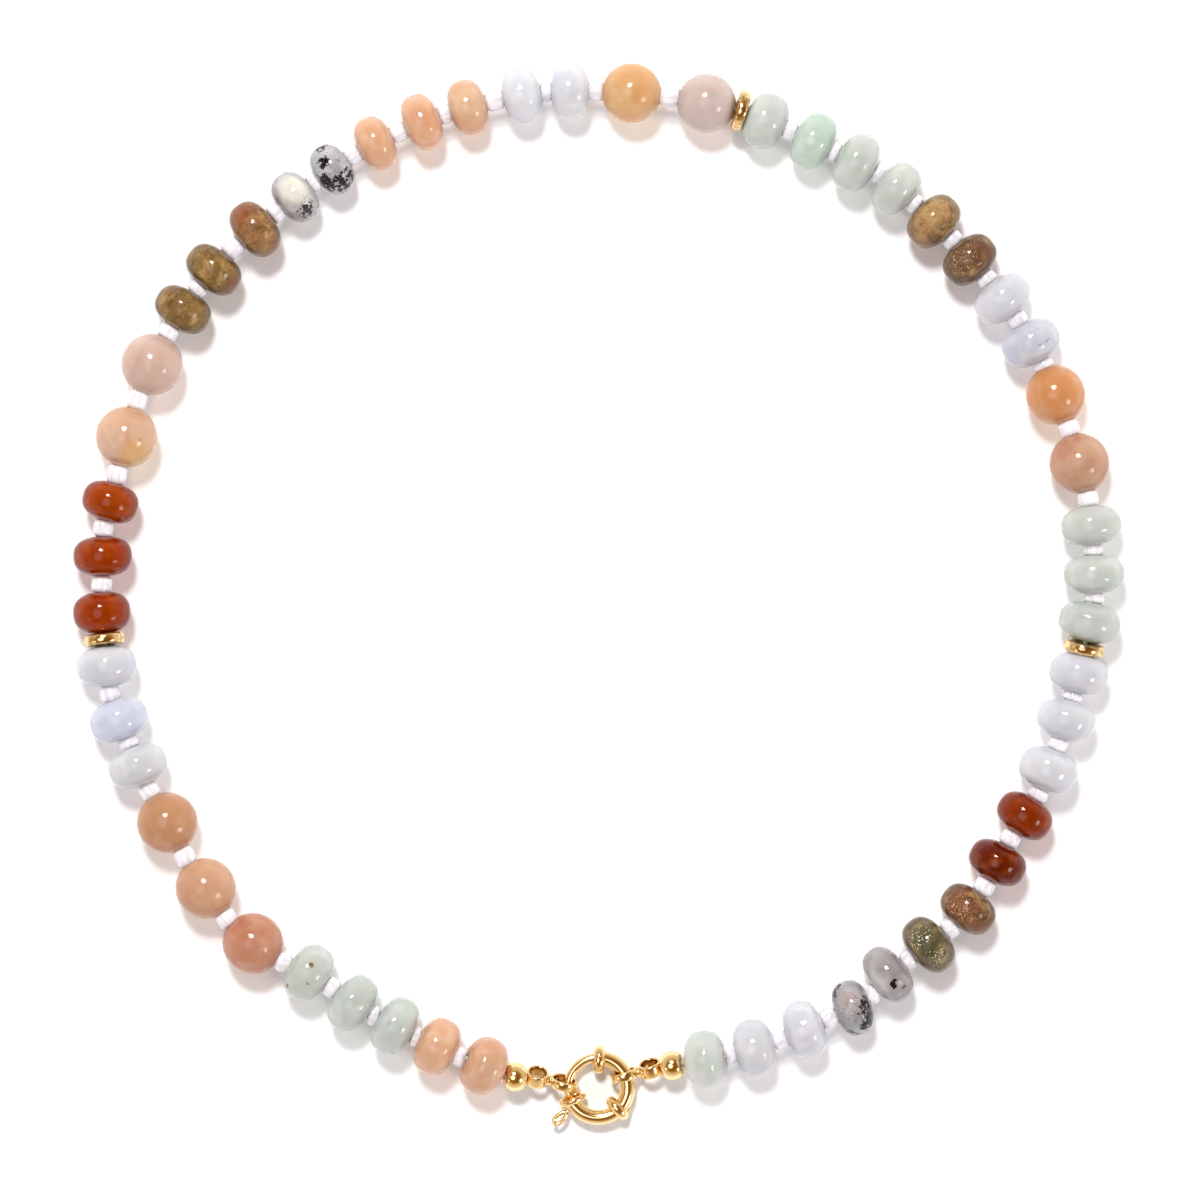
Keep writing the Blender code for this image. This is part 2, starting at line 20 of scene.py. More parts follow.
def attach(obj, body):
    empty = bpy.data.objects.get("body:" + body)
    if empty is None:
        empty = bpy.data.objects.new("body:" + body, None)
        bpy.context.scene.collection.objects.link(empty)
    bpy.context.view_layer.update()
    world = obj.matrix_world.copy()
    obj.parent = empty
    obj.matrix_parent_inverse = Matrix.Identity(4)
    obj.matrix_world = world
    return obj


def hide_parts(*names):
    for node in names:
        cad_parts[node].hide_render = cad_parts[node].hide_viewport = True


bl_info = {
    "name": "Beaded Gemstone Necklace",
    "version": (1, 0, 0),
    "blender": (4, 5, 0),
    "location": "View3D > Sidebar > Necklace",
    "description": "Builds a strung stone necklace with a gold bolt-ring clasp",
    "category": "Add Mesh",
}

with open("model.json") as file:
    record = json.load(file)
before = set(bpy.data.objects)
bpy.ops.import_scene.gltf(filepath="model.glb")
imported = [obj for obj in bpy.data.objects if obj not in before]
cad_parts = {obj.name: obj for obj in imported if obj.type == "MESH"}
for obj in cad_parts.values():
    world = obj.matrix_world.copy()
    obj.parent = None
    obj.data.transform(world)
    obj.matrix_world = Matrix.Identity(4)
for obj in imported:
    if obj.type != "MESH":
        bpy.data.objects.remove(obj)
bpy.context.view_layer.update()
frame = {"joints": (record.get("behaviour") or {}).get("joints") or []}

MM = 0.001
UP = Vector((0, 0, 1))
HINGE = Vector(frame["joints"][0]["pos_m"])

# The clasp ring, its collars and its gate
RING_RADIUS = 3.95 * MM
RING_HEIGHT = 1.88 * MM
TUBE_DIAMETER = 2.0 * MM
TUBE_BORE = 1.56 * MM
BOLT_DIAMETER = 1.24 * MM
COLLAR_LENGTH = 3.86 * MM
COLLAR_HEIGHT = 3.2 * MM
COLLAR_WIDTH = 1.5 * MM
COLLAR_INSET = 0.22 * MM
LEVER_LENGTH = 2.65 * MM
LEVER_WIDTH = 1.5 * MM
LEVER_WIRE = 0.58 * MM
LEVER_STEPS = 48
LEVER_HEEL = 0.72
LEVER_SWELL = 0.40
STEM_DIAMETER = 0.4 * MM
SLOT_CLEARANCE = 0.15 * MM
CATCH_ANGLE = math.radians(88)
MOUTH_ANGLE = math.radians(204)
REAR_COLLAR_ANGLE = math.radians(313)
NUB_ANGLE = math.radians(323)
NUB_DIAMETER = 0.7 * MM
LEVER_ANGLE = math.radians(218)
LEVER_LEAN = math.radians(5)
BOLT_STEPS = 60
BOLT_TAPER = 24
BOLT_BLUNTNESS = 0.25
BOLT_TAIL = math.radians(14)
BOLT_ENTRY = math.radians(5)
BOLT_TRAVEL = math.radians(38)

# The figure-eight connectors
EYE_DIAMETER = 3.1 * MM
EYE_HOLE = 2.2 * MM
EYE_WIDTH = 1.8 * MM
EYE_HEIGHT = 2.35 * MM
LOOP_DIAMETER = 3.82 * MM
LOOP_HOLE = 2.76 * MM
LOOP_BAND = 1.2 * MM
NECK_RADIUS = 0.6875 * MM
NECK_FLARE = 0.825 * MM
POST_DIAMETER = 0.7 * MM
LINK_SIDES = 14

# Rooms along the thread and what fills them
STONE_SPACING = 1.58 * MM
SEED_SIDES = 28
SEED_REACH = 0.12 * MM
SEED_SQUARENESS = 3.4
STREAK_SHIFT = 0.01
SPACER_HUB = 1.05 * MM
SPACER_GAP = 0.275 * MM
SPACER_HOLE = 2.2 * MM
END_BEAD_HOLE = 0.68 * MM
END_BEAD_SWELL = 1.04
SEAT_GAP = 0.15 * MM
END_GAP = 0.32 * MM
END_LEAN = math.radians(14)
ROUTE_STEPS = 24
FIT_ROUNDS = 12

# How each connector lies, in degrees and shares
Side = namedtuple("Side", "name ring_angle held play loop_heading loop_rise"
                          " eye_reach eye_heading eye_tilt bead_heading")
SIDES = (
    Side("left", 172, BOLT_DIAMETER, 0.85, -12, 18, 1.039, 168, 55, 178),
    Side("right", 25, TUBE_DIAMETER, -0.20, 17, 6, 1.025, 14.5, 67, 9.5),
)

# Points that the thread passes through, as shares of the loop's width from the clasp
ROUTE = (
    (-0.159, 0.041), (-0.245, 0.085), (-0.290, 0.116), (-0.346, 0.145),
    (-0.394, 0.200), (-0.433, 0.266), (-0.482, 0.369), (-0.500, 0.476),
    (-0.492, 0.590), (-0.450, 0.729), (-0.389, 0.824), (-0.307, 0.898),
    (-0.227, 0.952), (-0.134, 0.989), (-0.030, 1.006), (0.108, 0.994),
    (0.216, 0.956), (0.300, 0.908), (0.374, 0.837), (0.436, 0.753),
    (0.485, 0.632), (0.500, 0.519), (0.485, 0.420), (0.454, 0.322),
    (0.403, 0.228), (0.373, 0.181), (0.333, 0.145), (0.292, 0.115),
    (0.256, 0.081), (0.157, 0.041),
)

# Runs of stones of one kind in stringing order from the left end bead, as in the solid
# model. Each stone has shares of its form's diameter and width, the turn away from the
# thread in degrees, the room after it as a share and what fills that room
Stone = namedtuple("Stone", "kind girth width swing space next", defaults=("seed",))
RUNS = (
    ("peach", (1.00, 1.03, -4, 0.78), (1.00, 1.02, -1, 0.55)),
    ("pale_green", (1.03, 0.98, -3, 0.70), (1.02, 1.00, -6, 1.05), (1.01, 1.04, -4, 0.98)),
    ("rose_brown", (1.01, 1.01, 0, 0.95)),
    ("tan_peach", (1.01, 1.01, 0, 1.25), (1.01, 1.01, 0, 1.08)),
    ("pale_blue", (1.02, 1.01, -5, 0.76), (1.01, 1.03, 4, 1.15), (1.02, 1.02, -4, 1.00, "spacer")),
    ("red_brown", (0.98, 1.05, 2, 1.28), (1.00, 1.00, 6, 1.25), (0.97, 0.99, -5, 1.35)),
    ("apricot", (1.02, 1.02, 0, 1.25)),
    ("dusty_rose", (1.02, 1.02, 0, 0.98)),
    ("olive_brown", (0.99, 1.02, 3, 0.78), (1.01, 1.02, 2, 1.42), (1.01, 1.02, -3, 0.97)),
    ("speckled", (0.91, 0.96, 2, 0.70), (0.90, 0.93, 0, 1.10)),
    ("peach", (0.95, 0.92, -2, 1.20), (0.98, 0.92, 1, 0.88), (0.95, 0.95, 1, 1.40)),
    ("pale_blue", (0.95, 0.98, 2, 0.78), (0.94, 0.97, 0, 1.00)),
    ("apricot", (0.99, 0.99, 0, 1.32)),
    ("dusty_rose", (0.98, 0.98, 0, 0.93, "spacer")),
    ("pale_green", (0.97, 1.04, -3, 0.92), (1.00, 0.99, -4, 0.67), (1.03, 1.00, 4, 0.66),
     (0.97, 0.98, -3, 0.77)),
    ("olive_brown", (1.00, 1.04, 0, 0.92), (0.98, 1.03, 0, 0.83)),
    ("pale_blue", (1.01, 1.01, 1, 0.98), (1.02, 1.04, 2, 0.54)),
    ("apricot", (0.99, 0.99, 0, 1.02)),
    ("rose_brown", (1.00, 1.00, 0, 1.08)),
    ("pale_green", (1.03, 1.00, 0, 0.76), (1.04, 0.98, 3, 0.71), (1.07, 1.00, -3, 0.97, "spacer")),
    ("pale_blue", (1.01, 1.01, 1, 0.62), (1.01, 1.01, 2, 0.95), (1.01, 1.06, 4, 0.88)),
    ("red_brown", (0.99, 1.00, -4, 1.17), (1.01, 0.99, 2, 1.24)),
    ("olive_brown", (1.00, 1.02, 2, 1.04), (1.03, 1.01, 1, 0.90)),
    ("speckled", (1.02, 0.96, -1, 0.90), (0.96, 0.93, -9, 1.22)),
    ("pale_blue", (1.00, 0.99, -1, 1.06), (0.97, 1.04, -6, 0.70)),
    ("pale_green", (0.99, 1.03, -1, 1.40, "end")),
)
STONES = [Stone(kind, *row) for kind, *rows in RUNS for row in rows]
PROFILES = {
    "rondelle": ((0.28, 1.00), (0.78, 0.73), (0.97, 0.43)),
    "round": ((0.20, 1.00), (0.55, 0.86), (0.82, 0.59), (0.94, 0.36)),
}
SQUARENESS = {"rondelle": 2.5, "round": 2.0}
GLOSS = {"rondelle": 0.07, "round": 0.11}
ROUND_KINDS = ("rose_brown", "tan_peach", "apricot", "dusty_rose")
SPACER_NAMES = ("left", "top", "right")

# How each kind of stone is coloured inside: its darker and paler clouds, their size in millimetres
# and strength, the grain's strength, how much painted shade darkens its sides, and the polish
Kind = namedtuple("Kind", "deep pale cloud_size clouds grain rim polish")
KINDS = {
    "peach": Kind((184, 127, 89), (217, 193, 170), 4.0, 0.40, 0.04, 0.25, 0.48),
    "pale_green": Kind((156, 178, 162), (205, 208, 204), 4.2, 0.45, 0.03, 0.15, 0.58),
    "rose_brown": Kind((156, 90, 60), (196, 157, 134), 3.4, 0.40, 0.12, 0.45, 0.36),
    "tan_peach": Kind((161, 111, 73), (200, 167, 139), 3.6, 0.40, 0.10, 0.30, 0.36),
    "pale_blue": Kind((174, 178, 194), (214, 212, 212), 4.2, 0.45, 0.02, 0.12, 0.58),
    "red_brown": Kind((106, 28, 2), (199, 103, 32), 2.8, 0.28, 0.03, 0.75, 0.18),
    "apricot": Kind((184, 128, 78), (203, 188, 164), 3.8, 0.38, 0.06, 0.34, 0.44),
    "dusty_rose": Kind((166, 135, 120), (200, 184, 176), 3.8, 0.35, 0.05, 0.25, 0.44),
    "olive_brown": Kind((67, 46, 18), (181, 153, 98), 2.0, 0.70, 0.75, 0.60, 0.22),
    "speckled": Kind((119, 115, 119), (188, 189, 191), 3.0, 0.60, 0.20, 0.40, 0.34),
}

# How light goes through each kind: how far it wanders in millimetres, how much goes
# straight through, the share of a light that passes each side, and its tint then
Passing = namedtuple("Passing", "wander clear share tint")
PASSING = {
    "peach": Passing(3.0, 0.08, 0.48, (1.0, 0.79, 0.63)),
    "pale_green": Passing(3.4, 0.12, 0.46, (0.99, 1.0, 0.97)),
    "rose_brown": Passing(2.2, 0.05, 0.41, (1.0, 0.80, 0.68)),
    "tan_peach": Passing(2.2, 0.05, 0.50, (1.0, 0.91, 0.83)),
    "pale_blue": Passing(3.4, 0.12, 0.44, (1.0, 0.97, 0.98)),
    "red_brown": Passing(1.8, 0.20, 0.39, (1.0, 0.64, 0.55)),
    "apricot": Passing(2.8, 0.08, 0.54, (1.0, 0.86, 0.68)),
    "dusty_rose": Passing(2.6, 0.08, 0.51, (1.0, 0.84, 0.74)),
    "olive_brown": Passing(1.0, 0.0, 0.29, (1.0, 0.74, 0.64)),
    "speckled": Passing(1.4, 0.05, 0.38, (1.0, 0.95, 0.95)),
}

# Single stones whose main colour differs from the rest of their kind, by number
TONES = {
    1: (187, 151, 124), 3: (177, 181, 177), 4: (173, 178, 173), 5: (177, 181, 175),
    6: (175, 125, 99), 7: (184, 144, 115), 8: (174, 130, 96), 9: (186, 188, 189),
    10: (187, 192, 205), 14: (153, 59, 3), 15: (191, 158, 134), 19: (151, 107, 70),
    20: (186, 183, 178), 21: (183, 183, 185), 22: (198, 158, 127), 23: (199, 158, 128),
    24: (195, 160, 129), 25: (199, 201, 205), 26: (200, 201, 203), 27: (198, 159, 111),
    28: (186, 172, 166), 30: (175, 190, 179), 33: (167, 132, 91), 34: (106, 76, 61),
    36: (178, 182, 190), 37: (187, 131, 84), 38: (179, 146, 121), 41: (173, 178, 174),
    45: (129, 43, 4), 46: (94, 19, 2), 47: (121, 75, 56), 48: (102, 94, 77),
    49: (151, 145, 143), 50: (151, 151, 155), 52: (188, 189, 192), 53: (192, 190, 189),
}

# Marks that one stone has: a soft zone of colour, ragged grains, tiny flecks or fine lines,
# with the middle right and up in shares of the stone's radius seen from above, reach in mm
Mark = namedtuple("Mark", "stone sort right up reach colour")
BLACK = (16, 16, 24)
MARKS = [Mark(*row) for row in (
    (5, "grains", 0.13, 0.33, 0.42, (118, 98, 56)),
    (5, "grains", -0.72, -0.42, 0.40, (124, 108, 70)),
    (5, "grains", 0.0, -0.33, 0.34, (128, 120, 96)),
    (5, "grains", 0.45, -0.42, 0.36, (80, 78, 64)),
    (15, "zone", 0.35, -0.60, 2.6, (198, 160, 92)),
    (15, "grains", 0.50, -0.12, 0.30, (178, 130, 94)),
    (18, "zone", 0.70, -0.60, 2.2, (116, 68, 48)),
    (19, "zone", -0.50, 0.50, 2.6, (124, 60, 42)),
    (20, "zone", -0.80, -0.10, 1.8, (136, 112, 108)),
    (20, "zone", 0.10, -0.85, 1.8, (120, 108, 110)),
    (20, "zone", 0.0, 0.25, 2.4, (226, 222, 206)),
    (20, "grains", 0.50, -0.50, 1.5, (44, 42, 48)),
    (20, "flecks", 0.50, -0.50, 2.4, BLACK),
    (21, "zone", -0.60, 0.30, 1.8, (150, 150, 156)),
    (21, "grains", -0.45, 0.80, 1.3, BLACK),
    (21, "grains", -0.30, 0.20, 1.2, BLACK),
    (21, "grains", -0.20, -0.60, 2.1, BLACK),
    (21, "grains", 0.50, -0.50, 2.1, BLACK),
    (21, "flecks", 0.0, 0.0, 3.6, (84, 84, 92)),
    (34, "zone", 0.50, 0.10, 2.4, (96, 56, 38)),
    (34, "flecks", -0.35, 0.0, 2.6, (186, 156, 112)),
    (36, "lines", 0.30, 0.10, 1.5, (98, 108, 146)),
    (47, "flecks", -0.30, 0.10, 2.4, (196, 152, 116)),
    (48, "zone", 0.0, 0.10, 2.6, (56, 58, 34)),
    (48, "flecks", -0.30, 0.25, 2.2, (206, 204, 168)),
    (48, "flecks", 0.25, -0.30, 1.8, (196, 192, 150)),
    (49, "zone", 0.20, 0.60, 2.6, (132, 120, 118)),
    (49, "zone", -0.50, -0.40, 2.4, (198, 196, 190)),
    (49, "grains", 0.16, -0.27, 0.80, BLACK),
    (49, "grains", 0.52, -0.37, 0.40, (92, 80, 68)),
    (49, "flecks", 0.0, -0.95, 1.6, (70, 66, 74)),
    (50, "zone", -0.10, 0.30, 2.2, (176, 160, 156)),
    (50, "grains", -0.70, 0.65, 1.7, BLACK),
    (50, "grains", 0.45, 0.10, 1.9, BLACK),
    (50, "grains", 0.55, -0.50, 1.9, BLACK),
    (50, "grains", 0.0, -1.0, 1.8, (40, 40, 50)),
    (50, "flecks", 0.10, 0.0, 3.0, (104, 100, 106)),
)]

# Where the lights stand round the necklace: degrees from +X, degrees up, metres away,
# metres across, watts and tint
Lamp = namedtuple("Lamp", "name around up away across power tint")
LAMPS = (
    Lamp("key_softbox", 103, 60, 2.40, 0.50, 53.0, (1.0, 0.995, 0.98)),
    Lamp("fill_softbox", -29, 33, 2.40, 0.70, 11.0, (1.0, 0.98, 0.96)),
    Lamp("side_softbox", 209, 34, 2.40, 0.50, 1.2, (0.98, 0.98, 1.0)),
)

# The studio round the necklace by height, from the horizon (0) to overhead (1): the soft
# light that it gives, and what polished metal mirrors of it
SKY_STRENGTH = 1.9
SKY_LIGHT = (
    (0.00, (1.0, 0.96, 0.98)), (0.30, (1.0, 0.96, 0.98)), (0.50, (0.42, 0.40, 0.41)),
    (0.70, (0.26, 0.25, 0.26)), (0.82, (0.05, 0.045, 0.045)), (1.00, (0.04, 0.035, 0.035)),
)
SKY_MIRRORED = (
    (0.00, (0.42, 0.38, 0.33)), (0.20, (0.42, 0.36, 0.30)), (0.45, (0.38, 0.30, 0.21)),
    (0.66, (0.20, 0.12, 0.04)), (0.80, (0.12, 0.055, 0.01)), (1.00, (0.12, 0.055, 0.01)),
)
PANEL_MIRRORED = (1.0, 1.02, 1.10)
PANEL_AROUND = math.radians(190)
PANEL_UP = math.radians(75)
PANEL_EDGE = (0.945, 0.970)
TABLE_REACH = 0.9
TABLE_DROP = 0.01 * MM
CAMERA_HEIGHT = 0.9
CAMERA_PLACE = (0.00017, -0.00054)
SENSOR = 36.0
VIEW_WIDTH = 0.159


def length(name, description, millimetres, least, most):
    """A length that the user can change."""
    return FloatProperty(name=name, description=description, default=millimetres * MM,
                         min=least * MM, max=most * MM, precision=5, unit="LENGTH",
                         subtype="DISTANCE")


class NecklaceSizes(bpy.types.PropertyGroup):
    """Sizes of the strung pieces."""

    round_diameter: length("Round Stone", "Diameter of the round stones", 8.0, 4, 16)
    rondelle_diameter: length("Rondelle", "Diameter of the flattened stones across the thread", 7.8, 4, 16)
    rondelle_width: length("Rondelle Width", "Width of the flattened stones along the thread", 5.3, 2, 12)
    drill_diameter: length("Drilled Hole", "Diameter of the hole through each stone", 1.0, 0.5, 2)
    seed_diameter: length("Seed Bead", "Diameter of the glass beads between the stones", 2.8, 1, 5)
    thread_diameter: length("Thread", "Diameter of the stringing thread", 0.6, 0.2, 1)
    spacer_diameter: length("Spacer", "Diameter of the gold spacers", 5.5, 2, 9)
    spacer_width: length("Spacer Width", "Width of the gold spacers along the thread", 1.512, 0.4, 4)
    end_bead_diameter: length("End Bead", "Diameter of the gold beads at the thread's ends", 3.75, 2, 8)
    end_bead_length: length("End Bead Length", "Length of the gold end beads along the thread", 2.6, 1, 6)
    sides: IntProperty(
        name="Sides", description="How many sides a turned stone has",
        default=56, min=12, max=128)


def tone(red, green, blue):
    """A colour picked on screen, 0 to 255, as the plain numbers that shaders use."""
    shades = []
    for level in (red, green, blue):
        share = level / 255
        shades.append(share / 12.92 if share <= 0.04045 else ((share + 0.055) / 1.055) ** 2.4)
    return tuple(shades)


def tint(name, place, red, green, blue):
    """A colour that the user can change."""
    return FloatVectorProperty(name=name, description="Main colour of the " + place,
                               subtype="COLOR", size=3, min=0.0, max=1.0,
                               default=tone(red, green, blue))


class NecklaceColours(bpy.types.PropertyGroup):
    """Main colours of the stones, the glass and the metal."""

    peach: tint("Peach", "peach rondelles", 194, 156, 126)
    pale_green: tint("Pale Green", "pale green rondelles", 181, 184, 180)
    rose_brown: tint("Rose Brown", "rose brown rounds", 170, 124, 97)
    tan_peach: tint("Tan Peach", "tan peach rounds", 181, 139, 108)
    pale_blue: tint("Pale Blue", "pale blue rondelles", 192, 193, 197)
    red_brown: tint("Red Brown", "red brown rondelles", 146, 50, 4)
    apricot: tint("Apricot", "apricot rounds", 185, 157, 123)
    dusty_rose: tint("Dusty Rose", "dusty rose rounds", 189, 164, 150)
    olive_brown: tint("Olive Brown", "olive brown rondelles", 134, 102, 59)
    speckled: tint("Speckled", "speckled rondelles", 163, 161, 161)
    seed: tint("Seed Glass", "glass seed beads", 232, 229, 232)
    thread: tint("Thread", "stringing thread", 226, 222, 212)
    gold: tint("Gold", "gold plating", 252, 224, 172)
    table: tint("Table", "table top", 244, 244, 244)


class Value:
    """A socket of a finish; arithmetic on it adds nodes."""

    def __init__(self, finish, socket):
        self.finish = finish
        self.socket = socket

    def _sum(self, operation, first, second=0.0):
        return self.finish.node("ShaderNodeMath", {"operation": operation},
                                {0: first, 1: second})

    def __add__(self, other):
        return self._sum("ADD", self, other)

    def __sub__(self, other):
        return self._sum("SUBTRACT", self, other)

    def __rsub__(self, other):
        return self._sum("SUBTRACT", other, self)

    def __mul__(self, other):
        return self._sum("MULTIPLY", self, other)

    __radd__ = __add__
    __rmul__ = __mul__

    def wave(self):
        """Its sine, lifted to run from 0 to 1."""
        return self._sum("SINE", self) * 0.5 + 0.5

    def rise(self, low, high, below=0.0, above=1.0):
        """0 below low, 1 above high, with soft ends."""
        return self.finish.node("ShaderNodeMapRange", {"interpolation_type": "SMOOTHSTEP"},
                                {0: self, 1: low, 2: high, 3: below, 4: above})

    def fall(self, low, high):
        """1 below low, 0 above high, with soft ends."""
        return self.rise(low, high, 1.0, 0.0)


class Finish:
    """A material or a world that is put together from values and nodes."""

    def __init__(self, name, world=False):
        self.block = (bpy.data.worlds if world else bpy.data.materials).new(name)
        self.block.use_nodes = True
        self.tree = self.block.node_tree
        self.shader = self.tree.nodes["Background" if world else "Principled BSDF"]

    def feed(self, socket, value):
        """Link a value to a socket, or set the socket to plain numbers."""
        if isinstance(value, Value):
            self.tree.links.new(value.socket, socket)
        elif socket.type == "RGBA" and len(value) == 3:
            socket.default_value = (*value, 1.0)
        else:
            socket.default_value = value

    def node(self, kind, settings=None, sockets=None, output=0):
        """Add a node: its settings first, then the values or links of its sockets."""
        node = self.tree.nodes.new(kind)
        for name, setting in (settings or {}).items():
            if name == "stops":
                ramp = node.color_ramp.elements
                while len(ramp) < len(setting):
                    ramp.new(1.0)
                for element, (place, colour) in zip(ramp, setting):
                    element.position = place
                    element.color = (*colour, 1.0)
            else:
                setattr(node, name, setting)
        for key, value in (sockets or {}).items():
            self.feed(node.inputs[key], value)
        return Value(self, node.outputs[output])

    def set(self, **sockets):
        """Set the main shader's sockets; a name's underscores stand for spaces."""
        for name, value in sockets.items():
            self.feed(self.shader.inputs[name.replace("_", " ")], value)

    def mix(self, share, first, second):
        """A colour between two others."""
        return self.node("ShaderNodeMix", {"data_type": "RGBA"},
                         {0: share, 6: first, 7: second}, output=2)

    def vector(self, operation, *values):
        """Arithmetic on places that gives a place."""
        return self.node("ShaderNodeVectorMath", {"operation": operation},
                         dict(enumerate(values)))

    def measure(self, operation, *values):
        """Arithmetic on places that gives a number."""
        return self.node("ShaderNodeVectorMath", {"operation": operation},
                         dict(enumerate(values)), output="Value")

    def place(self, shift=(0.0, 0.0, 0.0), stored=None):
        """Where a point is in millimetres, on the piece or as stored in its mesh."""
        if stored:
            found = self.node("ShaderNodeAttribute", {"attribute_name": stored}, output="Vector")
        else:
            found = self.node("ShaderNodeTexCoord", output="Object")
        return self.vector("MULTIPLY_ADD", found, (1 / MM,) * 3, shift)

    def stretch(self, place, amounts):
        """The same place, stretched along each axis."""
        return self.vector("MULTIPLY", place, amounts)

    def cloud(self, place, size, detail=2.0, wisps=0.5):
        """Smooth random clouds of a size in millimetres."""
        return self.node("ShaderNodeTexNoise", None,
                         {"Vector": place, "Scale": 1 / size, "Detail": detail,
                          "Roughness": wisps})

    def cells(self, place, size):
        """How far a point is from the middle of its grain."""
        return self.node("ShaderNodeTexVoronoi", None, {"Vector": place, "Scale": 1 / size})

    def far(self, place, centre):
        """How far a place is from a centre."""
        return self.measure("DISTANCE", place, centre)

    def from_line(self, place, centre, way):
        """How far a place is from a line through a centre."""
        offset = self.vector("SUBTRACT", place, centre)
        return self.measure("LENGTH", self.vector("CROSS_PRODUCT", offset, way))

    def bump(self, height, strength, depth):
        """Small relief, with its depth in metres."""
        return self.node("ShaderNodeBump", None,
                         {"Strength": strength, "Distance": depth, "Height": height})


def heading(angle, rise=0.0):
    """A unit vector at an angle from +X in plan, lifted by rise."""
    flat = Vector((math.cos(angle), math.sin(angle), 0))
    return flat * math.cos(rise) + UP * math.sin(rise)


def on_ring(angle, radius=RING_RADIUS):
    """A point on the clasp ring's centre line, measured from the ring's foot."""
    return heading(angle) * radius + UP * RING_HEIGHT


def in_frame(point):
    """A point measured from the clasp ring's foot, in the necklace's frame."""
    return Vector(point) + HINGE - UP * RING_HEIGHT


Connector = namedtuple("Connector", "loop eye bead thread_way across")


def plan_connector(side, sizes):
    """Centres of one connector's loop and eye and of its end bead."""
    out = RING_RADIUS + side.play * (LOOP_HOLE - side.held) / 2
    loop = on_ring(math.radians(side.ring_angle), out)
    rise = math.radians(side.loop_rise)
    corner = LOOP_DIAMETER / 2 / math.cos(math.pi / LINK_SIDES)
    loop.z = corner * math.cos(rise) + LOOP_BAND / 2 * math.sin(rise)
    touching = (EYE_DIAMETER + LOOP_DIAMETER) / 2
    eye = loop + heading(math.radians(side.eye_heading)) * side.eye_reach * touching
    eye.z = EYE_HEIGHT
    thread_way = heading(math.radians(side.bead_heading), END_LEAN)
    bead = eye + thread_way * (EYE_DIAMETER / 2 + SEAT_GAP + sizes.end_bead_length / 2)
    across = UP.cross(thread_way).normalized()
    if across.y < 0:
        across = -across
    return Connector(loop, eye, bead, thread_way, across)


def route_curve(first, last, loop_width):
    """The thread's line in plan, as closely spaced points on a smooth curve."""
    knots = [first.xy] + [Vector(share) * loop_width for share in ROUTE] + [last.xy]
    knots = [2 * knots[0] - knots[1]] + knots + [2 * knots[-1] - knots[-2]]
    points = []
    for a, b, c, d in zip(knots, knots[1:], knots[2:], knots[3:]):
        for i in range(ROUTE_STEPS):
            t = i / ROUTE_STEPS
            points.append(0.5 * (2 * b + (c - a) * t + (2 * a - 5 * b + 4 * c - d) * t ** 2
                                 + (3 * b - a - 3 * c + d) * t ** 3))
    points.append(last.xy)
    return points


def curve_length(points):
    """How long a row of points is."""
    return sum((there - here).length for here, there in zip(points, points[1:]))


def fit_route(first, last, length):
    """The route at the loop width that gives the thread its length."""
    width = length / math.pi
    for _ in range(FIT_ROUNDS):
        width *= length / curve_length(route_curve(first, last, width))
    return route_curve(first, last, width)


def walk(points, distances):
    """Places and directions at the given distances along a row of points."""
    found = []
    travelled = 0.0
    wanted = iter(distances)
    target = next(wanted, None)
    for here, there in zip(points, points[1:]):
        step = (there - here).length
        while target is not None and target <= travelled + step:
            place = here.lerp(there, (target - travelled) / step)
            found.append((place, (there - here).normalized()))
            target = next(wanted, None)
        travelled += step
    return found


def form_of(stone):
    """Whether a stone is round or a rondelle."""
    return "round" if stone.kind in ROUND_KINDS else "rondelle"


def stone_sizes(stone, sizes):
    """Radius and half width of a stone."""
    if form_of(stone) == "round":
        ball = sizes.round_diameter / 2
        return ball * stone.girth, ball * stone.width
    return sizes.rondelle_diameter / 2 * stone.girth, sizes.rondelle_width / 2 * stone.width


Placed = namedtuple("Placed", "number stone centre axis radius half_width")


def place_stones(first, last, sizes):
    """Set the stones along the thread, each resting on the table."""
    room = {"seed": STONE_SPACING, "spacer": SPACER_HUB + 2 * SPACER_GAP, "end": END_GAP}
    distances = []
    distance = sizes.end_bead_length / 2 + END_GAP
    for stone in STONES:
        half_width = stone_sizes(stone, sizes)[1]
        distances.append(distance + half_width)
        distance += 2 * half_width + stone.space * room[stone.next]
    curve = fit_route(first, last, distance + sizes.end_bead_length / 2)
    placed = []
    for k, (place, way) in enumerate(walk(curve, distances)):
        radius, half_width = stone_sizes(STONES[k], sizes)
        lean = {0: END_LEAN, len(STONES) - 1: -END_LEAN}.get(k, 0.0)
        turn = math.atan2(way.y, way.x) + math.radians(STONES[k].swing)
        height = max(radius * girth * math.cos(lean) + half_width * along * abs(math.sin(lean))
                     for along, girth in PROFILES[form_of(STONES[k])])
        centre = Vector((place.x, place.y, height))
        placed.append(Placed(k + 1, STONES[k], centre, heading(turn, lean), radius,
                             half_width))
    return placed


def strung(sizes):
    """Both connectors, all the stones and the number of the stone before each spacer."""
    left, right = (plan_connector(side, sizes) for side in SIDES)
    beads = place_stones(left.bead, right.bead, sizes)
    spaced = [bead.number for bead in beads if bead.stone.next == "spacer"]
    return left, right, beads, spaced


def stone_face(bead, side):
    """Centre of a stone's drilled end, on its far (+1) or near (-1) side."""
    along = PROFILES[form_of(bead.stone)][-1][0]
    return bead.centre + bead.axis * side * along * bead.half_width


def upright(axis):
    """A turn that carries local +Z to the axis, with local +Y as near up as it can."""
    across = UP.cross(axis).normalized()
    return Matrix((across, axis.cross(across), axis)).transposed().to_4x4()


def new_object(name, data):
    """An object in the scene that shows a mesh, a light or a lens."""
    made = bpy.data.objects.new(name, data)
    bpy.context.scene.collection.objects.link(made)
    return made


